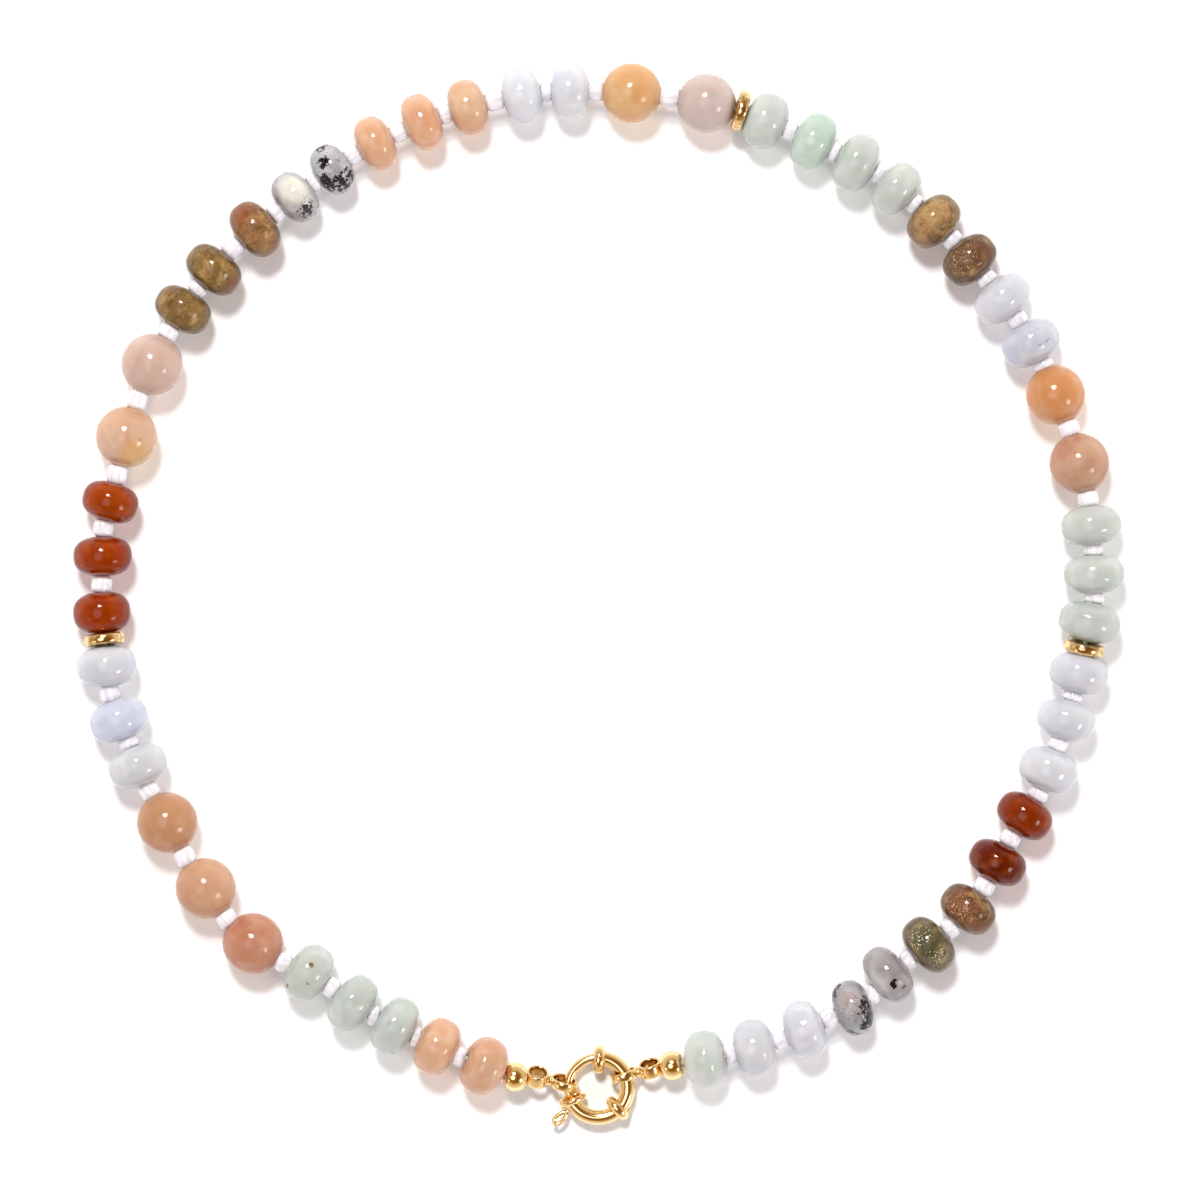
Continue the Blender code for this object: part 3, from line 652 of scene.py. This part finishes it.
def new_mesh(name, bm):
    """An object in the scene with the finished mesh."""
    mesh = bpy.data.meshes.new(name)
    bm.to_mesh(mesh)
    bm.free()
    return new_object(name, mesh)


def new_piece(name, bm, finish, body, slot, nodes, spot=(0, 0, 0)):
    """A smooth-shaded piece at a spot that rides on a body and stands for its solid nodes."""
    bmesh.ops.recalc_face_normals(bm, faces=bm.faces)
    piece = new_mesh(name, bm)
    piece.data.materials.append(finish.block)
    piece.data.shade_smooth()
    piece.location = spot
    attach(piece, body)
    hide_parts(*nodes)
    return piece


def skin(bm, loops, closed=False, capped=False):
    """Skin a row of equal loops of points; gives the new points."""
    rows = [[bm.verts.new(point) for point in loop] for loop in loops]
    count = len(rows[0])
    spans = len(rows) if closed else len(rows) - 1
    for i in range(spans):
        this, following = rows[i], rows[(i + 1) % len(rows)]
        for k in range(count):
            bm.faces.new((this[k], this[(k + 1) % count],
                          following[(k + 1) % count], following[k]))
    if capped:
        bm.faces.new(rows[0])
        bm.faces.new(rows[-1])
    return [vert for row in rows for vert in row]


def turns(count):
    """Angles that share out a full turn."""
    return [2 * math.pi * k / count for k in range(count)]


def hoop(centre, axis, radius, sides, flatten=1.0):
    """Points of a circle across an axis, flattened in height, in the necklace's frame."""
    across = axis.cross(UP).normalized()
    upward = across.cross(axis)
    return [in_frame(centre + across * math.cos(turn) * radius
                     + upward * math.sin(turn) * radius * flatten) for turn in turns(sides)]


def bead_section(radius, half_width, bore, squareness, steps=22):
    """Section of a drilled bead from end to end and back through its hole."""
    lip = bore * 1.5
    start = math.asin(min(1.0, (lip / radius) ** (squareness / 2)))
    points = []
    for i in range(steps + 1):
        turn = start + (math.pi - 2 * start) * i / steps
        along = math.copysign(abs(math.cos(turn)) ** (2 / squareness), math.cos(turn))
        points.append((along * half_width, math.sin(turn) ** (2 / squareness) * radius))
    edge = points[0][0]
    dip = 0.35 * bore
    inner = [(-(edge - dip * 0.3), bore * 1.15), (-(edge - dip), bore), (0.0, bore),
             (edge - dip, bore), (edge - dip * 0.3, bore * 1.15)]
    return points + inner


def turned_stone(bead, sizes, luck):
    """A drilled stone about local Z, a little out of round as stones are."""
    bore = sizes.drill_diameter / 2
    section = bead_section(bead.radius, bead.half_width, bore, SQUARENESS[form_of(bead.stone)])
    phases = [luck.uniform(0, 2 * math.pi) for _ in range(4)]
    oval, rock, wedge = luck.uniform(0.0, 0.006), luck.uniform(0.0, 0.005), luck.uniform(0.0, 0.02)
    bm = bmesh.new()
    loops = []
    for along, radius in section:
        swell = radius / bead.radius
        loop = []
        for turn in turns(sizes.sides):
            out = radius * (1 + swell * (oval * (math.cos(2 * turn + phases[0]) - 1)
                                         + rock * (math.cos(3 * turn + phases[1]) - 1)))
            shift = wedge * radius * math.cos(turn + phases[2]) * along / bead.half_width
            loop.append(Vector((math.cos(turn) * out, math.sin(turn) * out, along - abs(shift)
                                * math.copysign(1, along))))
        loops.append(loop)
    skin(bm, loops, closed=True)
    return bm


def marked(finish, colour, bead, here, marks):
    """The marks of one stone, laid over its colour where they lie on the real one."""
    back = upright(bead.axis).to_3x3().inverted()
    rough_edge = finish.cloud(here, 0.9, 3.0, 0.6)
    for mark in marks:
        flat = Vector((mark.right, mark.up, 0))
        spot = flat + UP * math.sqrt(max(0.05, 1 - flat.length_squared))
        centre = back @ (spot * bead.radius / MM)
        away = finish.far(here, tuple(centre)) + rough_edge * 0.9
        inside = away.fall(mark.reach * 0.45 + 0.45, mark.reach * 1.1 + 0.45)
        if mark.sort == "zone":
            inside = inside * 0.6
        elif mark.sort == "grains":
            grain = finish.node("ShaderNodeTexVoronoi", {"feature": "F1"},
                                {"Vector": here, "Scale": 2.2}, output="Color")
            pick = finish.node("ShaderNodeSeparateColor", None, {0: grain}, output=0)
            wisp = finish.cloud(here, 0.75, 4.0, 0.65)
            inside = (pick * 0.16 + wisp + inside * 0.26).rise(0.73, 0.77) * inside.rise(0.05, 0.3)
        elif mark.sort == "flecks":
            wisp = finish.cloud(here, 0.7, 2.0)
            inside = (finish.cells(here, 0.34) - wisp * 0.5).fall(-0.02, 0.06) * inside
        else:
            sway = finish.cloud(here, 2.5, 2.0)
            stripes = (finish.far(here, (0.0, 0.0, 30.0)) * 3.6 + sway * 4.0).wave()
            inside = inside * stripes.rise(0.975, 0.995) * finish.cloud(here, 0.7).rise(0.4, 0.6)
        colour = finish.mix(inside, colour, tone(*mark.colour))
    return colour


def let_light_through(finish, share, colour):
    """Let part of each light pass, so that shadows of clear pieces are pale and tinted."""
    shadow = finish.node("ShaderNodeLightPath", output="Is Shadow Ray")
    passing = finish.node("ShaderNodeBsdfTransparent", None, {"Color": colour})
    mixed = finish.node("ShaderNodeMixShader", None,
                        {0: shadow * share, 1: Value(finish, finish.shader.outputs[0]),
                         2: passing})
    finish.feed(finish.tree.nodes["Material Output"].inputs["Surface"], mixed)


def stone_finish(bead, colours, luck):
    """Clouded, grained and polished stone, with painted shade on its sides seen from above, and darker in
    rings round the drilled ends and in the bore, partly its own banding and partly painted shade.
    """
    kind = bead.stone.kind
    look, passing = KINDS[kind], PASSING[kind]
    finish = Finish(f"stone_{bead.number:02d}_{kind}")
    shift = tuple(luck.uniform(-40, 40) for _ in range(3))
    here = finish.place(stored="bead_place")
    inside = finish.place(shift, "bead_place")
    body = tuple(getattr(colours, kind))
    if bead.number in TONES:
        body = tone(*TONES[bead.number])
    depths = finish.cloud(inside, look.cloud_size, 2.0, 0.5).rise(0.44, 0.72)
    lights = finish.cloud(finish.stretch(inside, (1.0, 1.3, 0.8)), look.cloud_size * 0.7,
                          2.0, 0.5).rise(0.46, 0.76)
    grain = finish.cloud(inside, 0.34, 4.0, 0.7).rise(0.38, 0.66)
    fine = finish.cloud(inside, 0.20, 3.0, 0.7).rise(0.52, 0.68)
    colour = finish.mix(depths * look.clouds, body, tone(*look.deep))
    colour = finish.mix(lights * look.clouds, colour, tone(*look.pale))
    colour = finish.mix(grain * look.grain * 0.6, colour, tone(*look.deep))
    colour = finish.mix(fine * look.grain * 0.6, colour, tone(*look.pale))
    # Painted shade: the stone's sides, as seen from above, are darkened towards its deep colour
    sides = finish.measure("LENGTH", finish.stretch(
        here, (MM / bead.radius, 0.0, MM / bead.half_width)))
    colour = finish.mix(sides.rise(0.68, 1.02) * look.rim, colour, tone(*look.deep))
    colour = marked(finish, colour, bead, here,
                    [mark for mark in MARKS if mark.stone == bead.number])
    # Round the drilled ends: the rings are partly the stone's own banding and partly painted shade where
    # the seed beads sit; the darkened bore and its lip are painted shade
    from_axis = finish.measure("LENGTH", finish.stretch(here, (1.0, 1.0, 0.0)))
    rings = (from_axis * 11.0).wave() * from_axis.fall(0.9, 1.7)
    hole = from_axis.fall(0.55, 0.95)
    ends = rings * 0.30 + hole * 0.55
    colour = finish.mix(ends, colour, tuple(part * 0.5 for part in tone(*look.deep)))
    gloss = GLOSS[form_of(bead.stone)]
    finish.set(Base_Color=colour, Roughness=gloss + grain * 0.05, IOR=1.54,
               Subsurface_Weight=0.95, Subsurface_Radius=(1.0, 0.85, 0.75),
               Subsurface_Scale=passing.wander * MM, Transmission_Weight=passing.clear,
               Specular_IOR_Level=look.polish, Normal=finish.bump(grain, 0.12, 0.02 * MM))
    let_light_through(finish, passing.share, passing.tint)
    return finish


def glass_finish(colours):
    """Milky seed glass with paler streaks along each bead, and painted shade on its sides seen from above.
    """
    finish = Finish("seed_glass")
    around = finish.place(stored="bead_place")
    streaks = finish.cloud(finish.stretch(around, (0.9, 0.9, 0.16)), 0.35, 2.0).rise(0.36, 0.58)
    colour = finish.mix(streaks, tone(214, 210, 216), tuple(colours.seed))
    # Painted shade: the bead's sides, as seen from above, are darkened into a grey-lilac outline
    across = finish.measure("LENGTH", finish.stretch(around, (1.0, 0.0, 0.0)))
    colour = finish.mix(across.rise(1.05, 1.42) * 0.6, colour, tone(176, 170, 182))
    finish.set(Base_Color=colour, Roughness=0.06 + streaks * 0.12, IOR=1.5,
               Subsurface_Weight=0.8, Subsurface_Radius=(1.0, 1.0, 1.0),
               Subsurface_Scale=0.8 * MM, Coat_Weight=0.4)
    let_light_through(finish, 0.62, (1.0, 0.99, 1.0))
    return finish


def thread_finish(colours):
    """Pale twisted thread."""
    finish = Finish("stringing_thread")
    here = finish.place()
    fibre = finish.cloud(here, 0.12, 3.0)
    colour = finish.mix(fibre, tone(190, 184, 170), tuple(colours.thread))
    finish.set(Base_Color=colour, Roughness=0.5)
    return finish


def gold_finish(name, colours, roughness, stains=0.0, shaded_hollows=()):
    """Polished gold plating with faint wear and brushing, and painted shade inside its hollows."""
    finish = Finish(name)
    here = finish.place()
    wear = finish.cloud(here, 1.6, 3.0).rise(0.35, 0.75)
    marks = finish.cloud(finish.stretch(here, (1.0, 1.0, 3.0)), 0.16, 3.0, 0.6)
    colour = finish.mix(wear * 0.35, tuple(colours.gold), tone(244, 206, 134))
    stain = finish.cloud(here, 0.8, 3.0).rise(0.40, 0.62)
    colour = finish.mix(stain * stains, colour, tone(138, 92, 34))
    # Painted shade: the inner walls of each hole are darkened towards brown gold
    for centre, way, low, high in shaded_hollows:
        spot = tuple(in_frame(centre) / MM)
        inner = finish.from_line(here, spot, tuple(way)).fall(low / MM, high / MM)
        colour = finish.mix(inner * 0.75, colour, tone(172, 122, 50))
    finish.set(Base_Color=colour, Metallic=1.0, Roughness=roughness + marks * 0.06,
               Normal=finish.bump(marks, 0.10, 0.01 * MM))
    return finish


def chosen(context):
    """The sizes and colours that the user has set."""
    return context.scene.necklace_sizes, context.scene.necklace_colours


def bent_wire(bm, path, radius, sides, closed=False):
    """A round wire along a path, joined end to end or capped."""
    before, after = (path[-1], path[0]) if closed else (path[0], path[-1])
    row = [before] + path + [after]
    loops = [hoop(point, (following - behind).normalized(), radius, sides)
             for behind, point, following in zip(row, path, row[2:])]
    skin(bm, loops, closed=closed, capped=not closed)


class NECKLACE_OT_stones(bpy.types.Operator):
    """Turn, drill and colour the fifty-three stones"""

    bl_idname = "necklace.stones"
    bl_label = "Stones"

    def execute(self, context):
        sizes, colours = chosen(context)
        _, _, beads, spaced = strung(sizes)
        for bead in beads:
            luck = random.Random(100 + bead.number)
            finish = stone_finish(bead, colours, luck)
            bm = turned_stone(bead, sizes, luck)
            bm.transform(Matrix.Rotation(luck.uniform(0, 6), 4, "Z"))
            layer = bm.verts.layers.float_vector.new("bead_place")
            for vert in bm.verts:
                vert[layer] = vert.co
            bm.transform(upright(bead.axis))
            low = min(vert.co.z for vert in bm.verts)
            centre = in_frame(bead.centre)
            centre.z = in_frame((0, 0, 0)).z - low
            half = "left" if bead.number <= spaced[1] else "right"
            name = f"stone_{bead.number:02d}_{bead.stone.kind}"
            new_piece(name, bm, finish, "necklace", bead.stone.kind + "_stone",
                      ["bead_string_" + half], centre)
        return {"FINISHED"}


class NECKLACE_OT_seeds(bpy.types.Operator):
    """Make the glass seed beads between the stones"""

    bl_idname = "necklace.seeds"
    bl_label = "Seed Beads"

    def execute(self, context):
        sizes, colours = chosen(context)
        _, _, beads, spaced = strung(sizes)
        finish = glass_finish(colours)
        halves = (("left", beads[:spaced[1]]), ("right", beads[spaced[1]:]))
        for half, row in halves:
            bm = bmesh.new()
            layer = bm.verts.layers.float_vector.new("bead_place")
            for before, after in zip(row, row[1:]):
                if before.stone.next != "seed":
                    continue
                start, end = stone_face(before, 1), stone_face(after, -1)
                seat = Matrix.Translation(in_frame((start + end) / 2)) @ upright(
                    (end - start).normalized())
                section = bead_section(sizes.seed_diameter / 2,
                                       (end - start).length / 2 + SEED_REACH,
                                       sizes.thread_diameter * 0.6, SEED_SQUARENESS, 16)
                loops = [[Vector((math.cos(turn) * radius, math.sin(turn) * radius, along))
                          for turn in turns(SEED_SIDES)] for along, radius in section]
                for vert in skin(bm, loops, closed=True):
                    vert[layer] = vert.co + UP * before.number * STREAK_SHIFT
                    vert.co = seat @ vert.co
            new_piece("seed_beads_" + half, bm, finish, "necklace", "seed_glass",
                      ["bead_string_" + half])
        return {"FINISHED"}


class NECKLACE_OT_thread(bpy.types.Operator):
    """Run the thread through the beads into both end beads"""

    bl_idname = "necklace.thread"
    bl_label = "Thread"

    def execute(self, context):
        sizes, colours = chosen(context)
        left, right, beads, spaced = strung(sizes)
        finish = thread_finish(colours)
        meeting = (stone_face(beads[spaced[1] - 1], 1) + stone_face(beads[spaced[1]], -1)) / 2
        halves = (("left", [left.bead], beads[:spaced[1]], [meeting]),
                  ("right", [meeting], beads[spaced[1]:], [right.bead]))
        for half, head, row, tail in halves:
            path = head
            for bead in row:
                path += [stone_face(bead, -1), bead.centre, stone_face(bead, 1)]
            path += tail
            bm = bmesh.new()
            bent_wire(bm, path, sizes.thread_diameter / 2, 10)
            new_piece("stringing_thread_" + half, bm, finish, "necklace", "seed_glass",
                      ["bead_string_" + half])
        return {"FINISHED"}


def rounded_band(bm, centre, axis, outer, hole, width, sides=64, crown=0.5, steps=10):
    """A ring turned about an axis: a crowned wall outside and a rounded one inside."""
    section = []
    for i in range(2 * steps):
        turn = math.pi * (i / steps - 0.5)
        bulge = math.copysign(abs(math.cos(turn)) ** crown, math.cos(turn))
        section.append((math.sin(turn) * width / 2,
                        (outer + hole) / 4 + (outer - hole) / 4 * bulge))
    skin(bm, [hoop(centre + axis * along, axis, radius, sides) for along, radius in section],
         closed=True)


def flared_rod(bm, start, end, radius, flare, sides=24, steps=8):
    """A rod that spreads at both ends, as solder does."""
    axis = (end - start).normalized()
    loops = []
    for i in range(steps + 1):
        share = i / steps
        spread = radius + (flare - radius) * (2 * share - 1) ** 4
        loops.append(hoop(start.lerp(end, share), axis, spread, sides))
    skin(bm, loops, capped=True)


class NECKLACE_OT_spacers(bpy.types.Operator):
    """Turn the three gold spacers"""

    bl_idname = "necklace.spacers"
    bl_label = "Gold Spacers"

    def execute(self, context):
        sizes, colours = chosen(context)
        _, _, beads, spaced = strung(sizes)
        finish = gold_finish("spacer_gold", colours, 0.12, 0.55)
        for name, number in zip(SPACER_NAMES, spaced):
            start, end = stone_face(beads[number - 1], 1), stone_face(beads[number], -1)
            bm = bmesh.new()
            rounded_band(bm, (start + end) / 2, (end - start).normalized(),
                         sizes.spacer_diameter, SPACER_HOLE, sizes.spacer_width,
                         72, 0.42, 16)
            new_piece("spacer_washer_" + name, bm, finish, "necklace", "gold",
                      ["gold_spacer_" + name])
        return {"FINISHED"}


class NECKLACE_OT_end_beads(bpy.types.Operator):
    """Turn the two gold end beads"""

    bl_idname = "necklace.end_beads"
    bl_label = "End Beads"

    def execute(self, context):
        sizes, colours = chosen(context)
        left, right, _, _ = strung(sizes)
        finish = gold_finish("end_bead_gold", colours, 0.10)
        for side, connector in (("left", left), ("right", right)):
            ball, half = sizes.end_bead_diameter / 2 * END_BEAD_SWELL, sizes.end_bead_length / 2
            bore = END_BEAD_HOLE / 2
            section = []
            for i in range(21):
                along = half * (i / 10 - 1)
                section.append((along, math.sqrt(ball ** 2 - along ** 2)))
            rim = section[-1][1]
            domes = ((1.05, rim * 0.90), (1.10, rim * 0.70), (1.13, bore * 1.3), (1.08, bore))
            section += [(half * along, radius) for along, radius in domes]
            section += [(-half * along, radius) for along, radius in reversed(domes)]
            bm = bmesh.new()
            way = connector.thread_way
            skin(bm, [hoop(connector.bead + way * along, way, radius, 64)
                      for along, radius in section], closed=True)
            new_piece("ball_end_" + side, bm, finish, "necklace", "gold", ["end_bead_" + side])
        return {"FINISHED"}


class NECKLACE_OT_connectors(bpy.types.Operator):
    """Make the figure-eight connectors"""

    bl_idname = "necklace.connectors"
    bl_label = "Connectors"

    def execute(self, context):
        sizes, colours = chosen(context)
        left, right, _, _ = strung(sizes)
        eye_wall = (EYE_DIAMETER + EYE_HOLE) / 4
        loop_wall = (LOOP_DIAMETER + LOOP_HOLE) / 4
        for side, connector in zip(SIDES, (left, right)):
            upward = connector.thread_way.cross(connector.across).normalized()
            if upward.z < 0:
                upward = -upward
            tilt = math.radians(side.eye_tilt)
            eye_axis = connector.across * math.sin(tilt) + upward * math.cos(tilt)
            loop_axis = heading(math.radians(side.loop_heading + 90),
                                math.radians(side.loop_rise))
            # Holes whose inner walls get painted shade: the eye and the loop
            shaded_hollows = ((connector.eye, eye_axis, EYE_HOLE / 2 * 1.05, eye_wall),
                       (connector.loop, loop_axis, LOOP_HOLE / 2 * 1.05, loop_wall))
            finish = gold_finish("connector_gold_" + side.name, colours, 0.12, 0.0, shaded_hollows)
            bm = bmesh.new()
            rounded_band(bm, connector.eye, eye_axis, EYE_DIAMETER, EYE_HOLE, EYE_WIDTH)
            rounded_band(bm, connector.loop, loop_axis, LOOP_DIAMETER, LOOP_HOLE,
                         LOOP_BAND)
            way = (connector.loop - connector.eye).normalized()
            flared_rod(bm, connector.eye + way * eye_wall, connector.loop - way * loop_wall,
                       NECK_RADIUS, NECK_FLARE)
            flared_rod(bm, connector.eye + connector.thread_way * eye_wall,
                       connector.bead - connector.thread_way * SEAT_GAP,
                       POST_DIAMETER / 2, POST_DIAMETER / 2)
            new_piece("figure_eight_" + side.name, bm, finish, "necklace", "gold",
                      ["end_connector_" + side.name])
        return {"FINISHED"}


def collar(bm, angle, profile, sides=64):
    """An oval band round the clasp tube, with the tube's bore through it."""
    tangent = heading(angle + math.pi / 2)
    outside = on_ring(angle, RING_RADIUS - COLLAR_INSET)
    middle = on_ring(angle)
    loops = []
    for along, girth in profile:
        loops.append(hoop(outside + tangent * along * COLLAR_WIDTH / 2, tangent,
                          girth * COLLAR_LENGTH / 2, sides, COLLAR_HEIGHT / COLLAR_LENGTH))
    for along in (0.92, -0.92):
        loops.append(hoop(middle + tangent * along * COLLAR_WIDTH / 2, tangent,
                          TUBE_BORE / 2, sides))
    skin(bm, loops, closed=True)


PLAIN_COLLAR = ((-1.00, 0.60), (-0.94, 0.72), (-0.80, 0.83), (-0.60, 0.91), (-0.35, 0.965),
                (0.00, 1.00), (0.35, 0.965), (0.60, 0.91), (0.80, 0.83), (0.94, 0.72),
                (1.00, 0.60))
RIDGED_COLLAR = ((-1.00, 0.58), (-0.97, 0.72), (-0.88, 0.82), (-0.74, 0.87), (-0.58, 0.85),
                 (-0.48, 0.72), (-0.40, 0.60), (-0.32, 0.72), (-0.20, 0.87), (-0.02, 0.97),
                 (0.25, 1.00), (0.52, 0.98), (0.76, 0.90), (0.92, 0.78), (1.00, 0.62))


def bent_tube(bm, start, end, outer, inner, steps=96, sides=48):
    """A bored tube bent along the clasp ring's centre line."""
    walls = []
    for radius, row in ((outer, range(steps + 1)), (inner, range(steps, -1, -1))):
        for i in row:
            angle = start + (end - start) * i / steps
            walls.append(hoop(on_ring(angle), heading(angle + math.pi / 2), radius, sides))
    skin(bm, walls, closed=True)


def lever_slot():
    """Cutter for the slot in the tube's outer wall that the lever slides along."""
    play = (STEM_DIAMETER / 2 + SLOT_CLEARANCE) / RING_RADIUS
    start, end = LEVER_ANGLE - play, LEVER_ANGLE + BOLT_TRAVEL + play
    half_height = UP * (STEM_DIAMETER / 2 + SLOT_CLEARANCE)
    inner, outer = RING_RADIUS + TUBE_BORE / 4, RING_RADIUS + TUBE_DIAMETER
    bm = bmesh.new()
    loops = []
    for i in range(13):
        angle = start + (end - start) * i / 12
        near, far = on_ring(angle, inner), on_ring(angle, outer)
        loops.append([in_frame(spot) for spot in (near - half_height, far - half_height,
                                                  far + half_height, near + half_height)])
    skin(bm, loops, capped=True)
    bmesh.ops.recalc_face_normals(bm, faces=bm.faces)
    return new_mesh("lever_slot", bm)


class NECKLACE_OT_clasp(bpy.types.Operator):
    """Make the clasp's bored ring and its sprung gate with the lever"""

    bl_idname = "necklace.clasp"
    bl_label = "Clasp"

    def execute(self, context):
        colours = context.scene.necklace_colours
        bm = bmesh.new()
        bent_tube(bm, MOUTH_ANGLE, CATCH_ANGLE + 2 * math.pi, TUBE_DIAMETER / 2, TUBE_BORE / 2)
        bmesh.ops.recalc_face_normals(bm, faces=bm.faces)
        tube = new_mesh("slotted_tube", bm)
        cutter = lever_slot()
        cut = tube.modifiers.new("slot", "BOOLEAN")
        cut.operation = "DIFFERENCE"
        cut.solver = "EXACT"
        cut.object = cutter
        bpy.context.view_layer.update()
        slotted = tube.evaluated_get(bpy.context.evaluated_depsgraph_get())
        bm = bmesh.new()
        bm.from_mesh(slotted.data)
        bpy.data.objects.remove(tube)
        bpy.data.objects.remove(cutter)
        collar(bm, CATCH_ANGLE, PLAIN_COLLAR)
        collar(bm, MOUTH_ANGLE, RIDGED_COLLAR)
        collar(bm, REAR_COLLAR_ANGLE, PLAIN_COLLAR)
        nub = Matrix.Translation(in_frame(on_ring(NUB_ANGLE, RING_RADIUS + TUBE_DIAMETER / 2)))
        bmesh.ops.create_uvsphere(bm, u_segments=20, v_segments=14, radius=NUB_DIAMETER / 2,
                                  matrix=nub)
        ring = new_piece("clasp_tube", bm, gold_finish("clasp_gold", colours, 0.10),
                         "necklace", "gold", ["clasp_ring"])
        ring.data.set_sharp_from_angle(angle=math.radians(40))

        bm = bmesh.new()
        start, end = CATCH_ANGLE - BOLT_ENTRY, LEVER_ANGLE + BOLT_TAIL
        loops = []
        for i in range(BOLT_STEPS + 1):
            share = i / BOLT_STEPS
            angle = start + (end - start) * share
            taper = 1 - min(1.0, share * BOLT_TAPER)
            tip = min(1.0, math.sqrt(1 - taper ** 2) + BOLT_BLUNTNESS)
            loops.append(hoop(on_ring(angle), heading(angle + math.pi / 2),
                              BOLT_DIAMETER / 2 * tip, 40))
        skin(bm, loops, capped=True)
        wire = LEVER_WIRE / 2
        foot = RING_RADIUS + TUBE_DIAMETER / 2 + SLOT_CLEARANCE + wire
        root = on_ring(LEVER_ANGLE, foot)
        flared_rod(bm, on_ring(LEVER_ANGLE), root, STEM_DIAMETER / 2, STEM_DIAMETER / 2 * 1.3)
        way = heading(LEVER_ANGLE + LEVER_LEAN)
        across = UP.cross(way)
        half_length, half_width = LEVER_LENGTH / 2 - wire, LEVER_WIDTH / 2 - wire * 0.8
        path = []
        for turn in turns(LEVER_STEPS):
            swell = LEVER_HEEL + LEVER_SWELL * (1 - math.cos(turn)) / 2
            path.append(root + way * half_length * (1 - math.cos(turn))
                        + across * half_width * swell * math.sin(turn))
        bent_wire(bm, path, wire, 20, closed=True)
        new_piece("clasp_gate", bm, gold_finish("gate_gold", colours, 0.12), "bolt", "gold",
                  ["clasp_bolt"])
        return {"FINISHED"}


class NECKLACE_OT_studio(bpy.types.Operator):
    """Set up the table, the soft lights, the surroundings and the camera"""

    bl_idname = "necklace.studio"
    bl_label = "Studio"

    def execute(self, context):
        scene = context.scene
        bm = bmesh.new()
        bmesh.ops.create_grid(bm, x_segments=8, y_segments=8, size=TABLE_REACH)
        table = new_mesh("table_top", bm)
        table.location.z = -TABLE_DROP
        finish = Finish("table_white")
        finish.set(Base_Color=tuple(scene.necklace_colours.table), Roughness=0.6,
                   Specular_IOR_Level=0.2)
        table.data.materials.append(finish.block)

        for lamp in LAMPS:
            light = bpy.data.lights.new(lamp.name, "AREA")
            light.shape = "DISK"
            light.size = lamp.across
            light.energy = lamp.power
            light.color = lamp.tint
            stand = new_object(lamp.name, light)
            way = heading(math.radians(lamp.around), math.radians(lamp.up))
            stand.location = way * lamp.away
            stand.rotation_euler = way.to_track_quat("Z", "Y").to_euler()

        sky = Finish("studio_surroundings", world=True)
        way = sky.node("ShaderNodeTexCoord", output="Generated")
        height = sky.node("ShaderNodeSeparateXYZ", None, {0: way}, output="Z")
        soft = sky.node("ShaderNodeValToRGB", {"stops": SKY_LIGHT}, {0: height})
        mirrored = sky.node("ShaderNodeValToRGB", {"stops": SKY_MIRRORED}, {0: height})
        panel = sky.measure("DOT_PRODUCT", way, tuple(heading(PANEL_AROUND, PANEL_UP)))
        mirrored = sky.mix(panel.rise(*PANEL_EDGE), mirrored, PANEL_MIRRORED)
        polished = sky.node("ShaderNodeLightPath", output="Is Glossy Ray")
        sky.set(Color=sky.mix(polished, soft, mirrored), Strength=SKY_STRENGTH)
        scene.world = sky.block

        lens = bpy.data.cameras.new("overhead_camera")
        lens.sensor_width = SENSOR
        lens.lens = SENSOR * CAMERA_HEIGHT / VIEW_WIDTH
        camera = new_object("overhead_camera", lens)
        camera.location = (*CAMERA_PLACE, CAMERA_HEIGHT)
        scene.camera = camera
        scene.view_settings.view_transform = "Standard"
        scene.view_settings.look = "None"
        return {"FINISHED"}


OPERATORS = (
    NECKLACE_OT_stones,
    NECKLACE_OT_seeds,
    NECKLACE_OT_thread,
    NECKLACE_OT_spacers,
    NECKLACE_OT_end_beads,
    NECKLACE_OT_connectors,
    NECKLACE_OT_clasp,
    NECKLACE_OT_studio,
)


class NECKLACE_PT_parts(bpy.types.Panel):
    """Lists the necklace's pieces, sizes and colours"""

    bl_idname = "NECKLACE_PT_parts"
    bl_label = "Necklace"
    bl_space_type = "VIEW_3D"
    bl_region_type = "UI"
    bl_category = "Necklace"

    def draw(self, context):
        layout = self.layout
        for operator in OPERATORS:
            layout.operator(operator.bl_idname)
        for group in (context.scene.necklace_sizes, context.scene.necklace_colours):
            column = layout.column(align=True)
            for name in group.__annotations__:
                column.prop(group, name)


CLASSES = (NecklaceSizes, NecklaceColours, *OPERATORS, NECKLACE_PT_parts)


def register():
    for entry in CLASSES:
        bpy.utils.register_class(entry)
    bpy.types.Scene.necklace_sizes = PointerProperty(type=NecklaceSizes)
    bpy.types.Scene.necklace_colours = PointerProperty(type=NecklaceColours)


def unregister():
    del bpy.types.Scene.necklace_colours
    del bpy.types.Scene.necklace_sizes
    for entry in reversed(CLASSES):
        bpy.utils.unregister_class(entry)


def main():
    register()
    for make in (bpy.ops.necklace.stones, bpy.ops.necklace.seeds, bpy.ops.necklace.thread,
                 bpy.ops.necklace.spacers, bpy.ops.necklace.end_beads,
                 bpy.ops.necklace.connectors, bpy.ops.necklace.clasp,
                 bpy.ops.necklace.studio):
        make()


if __name__ == "__main__":
    main()
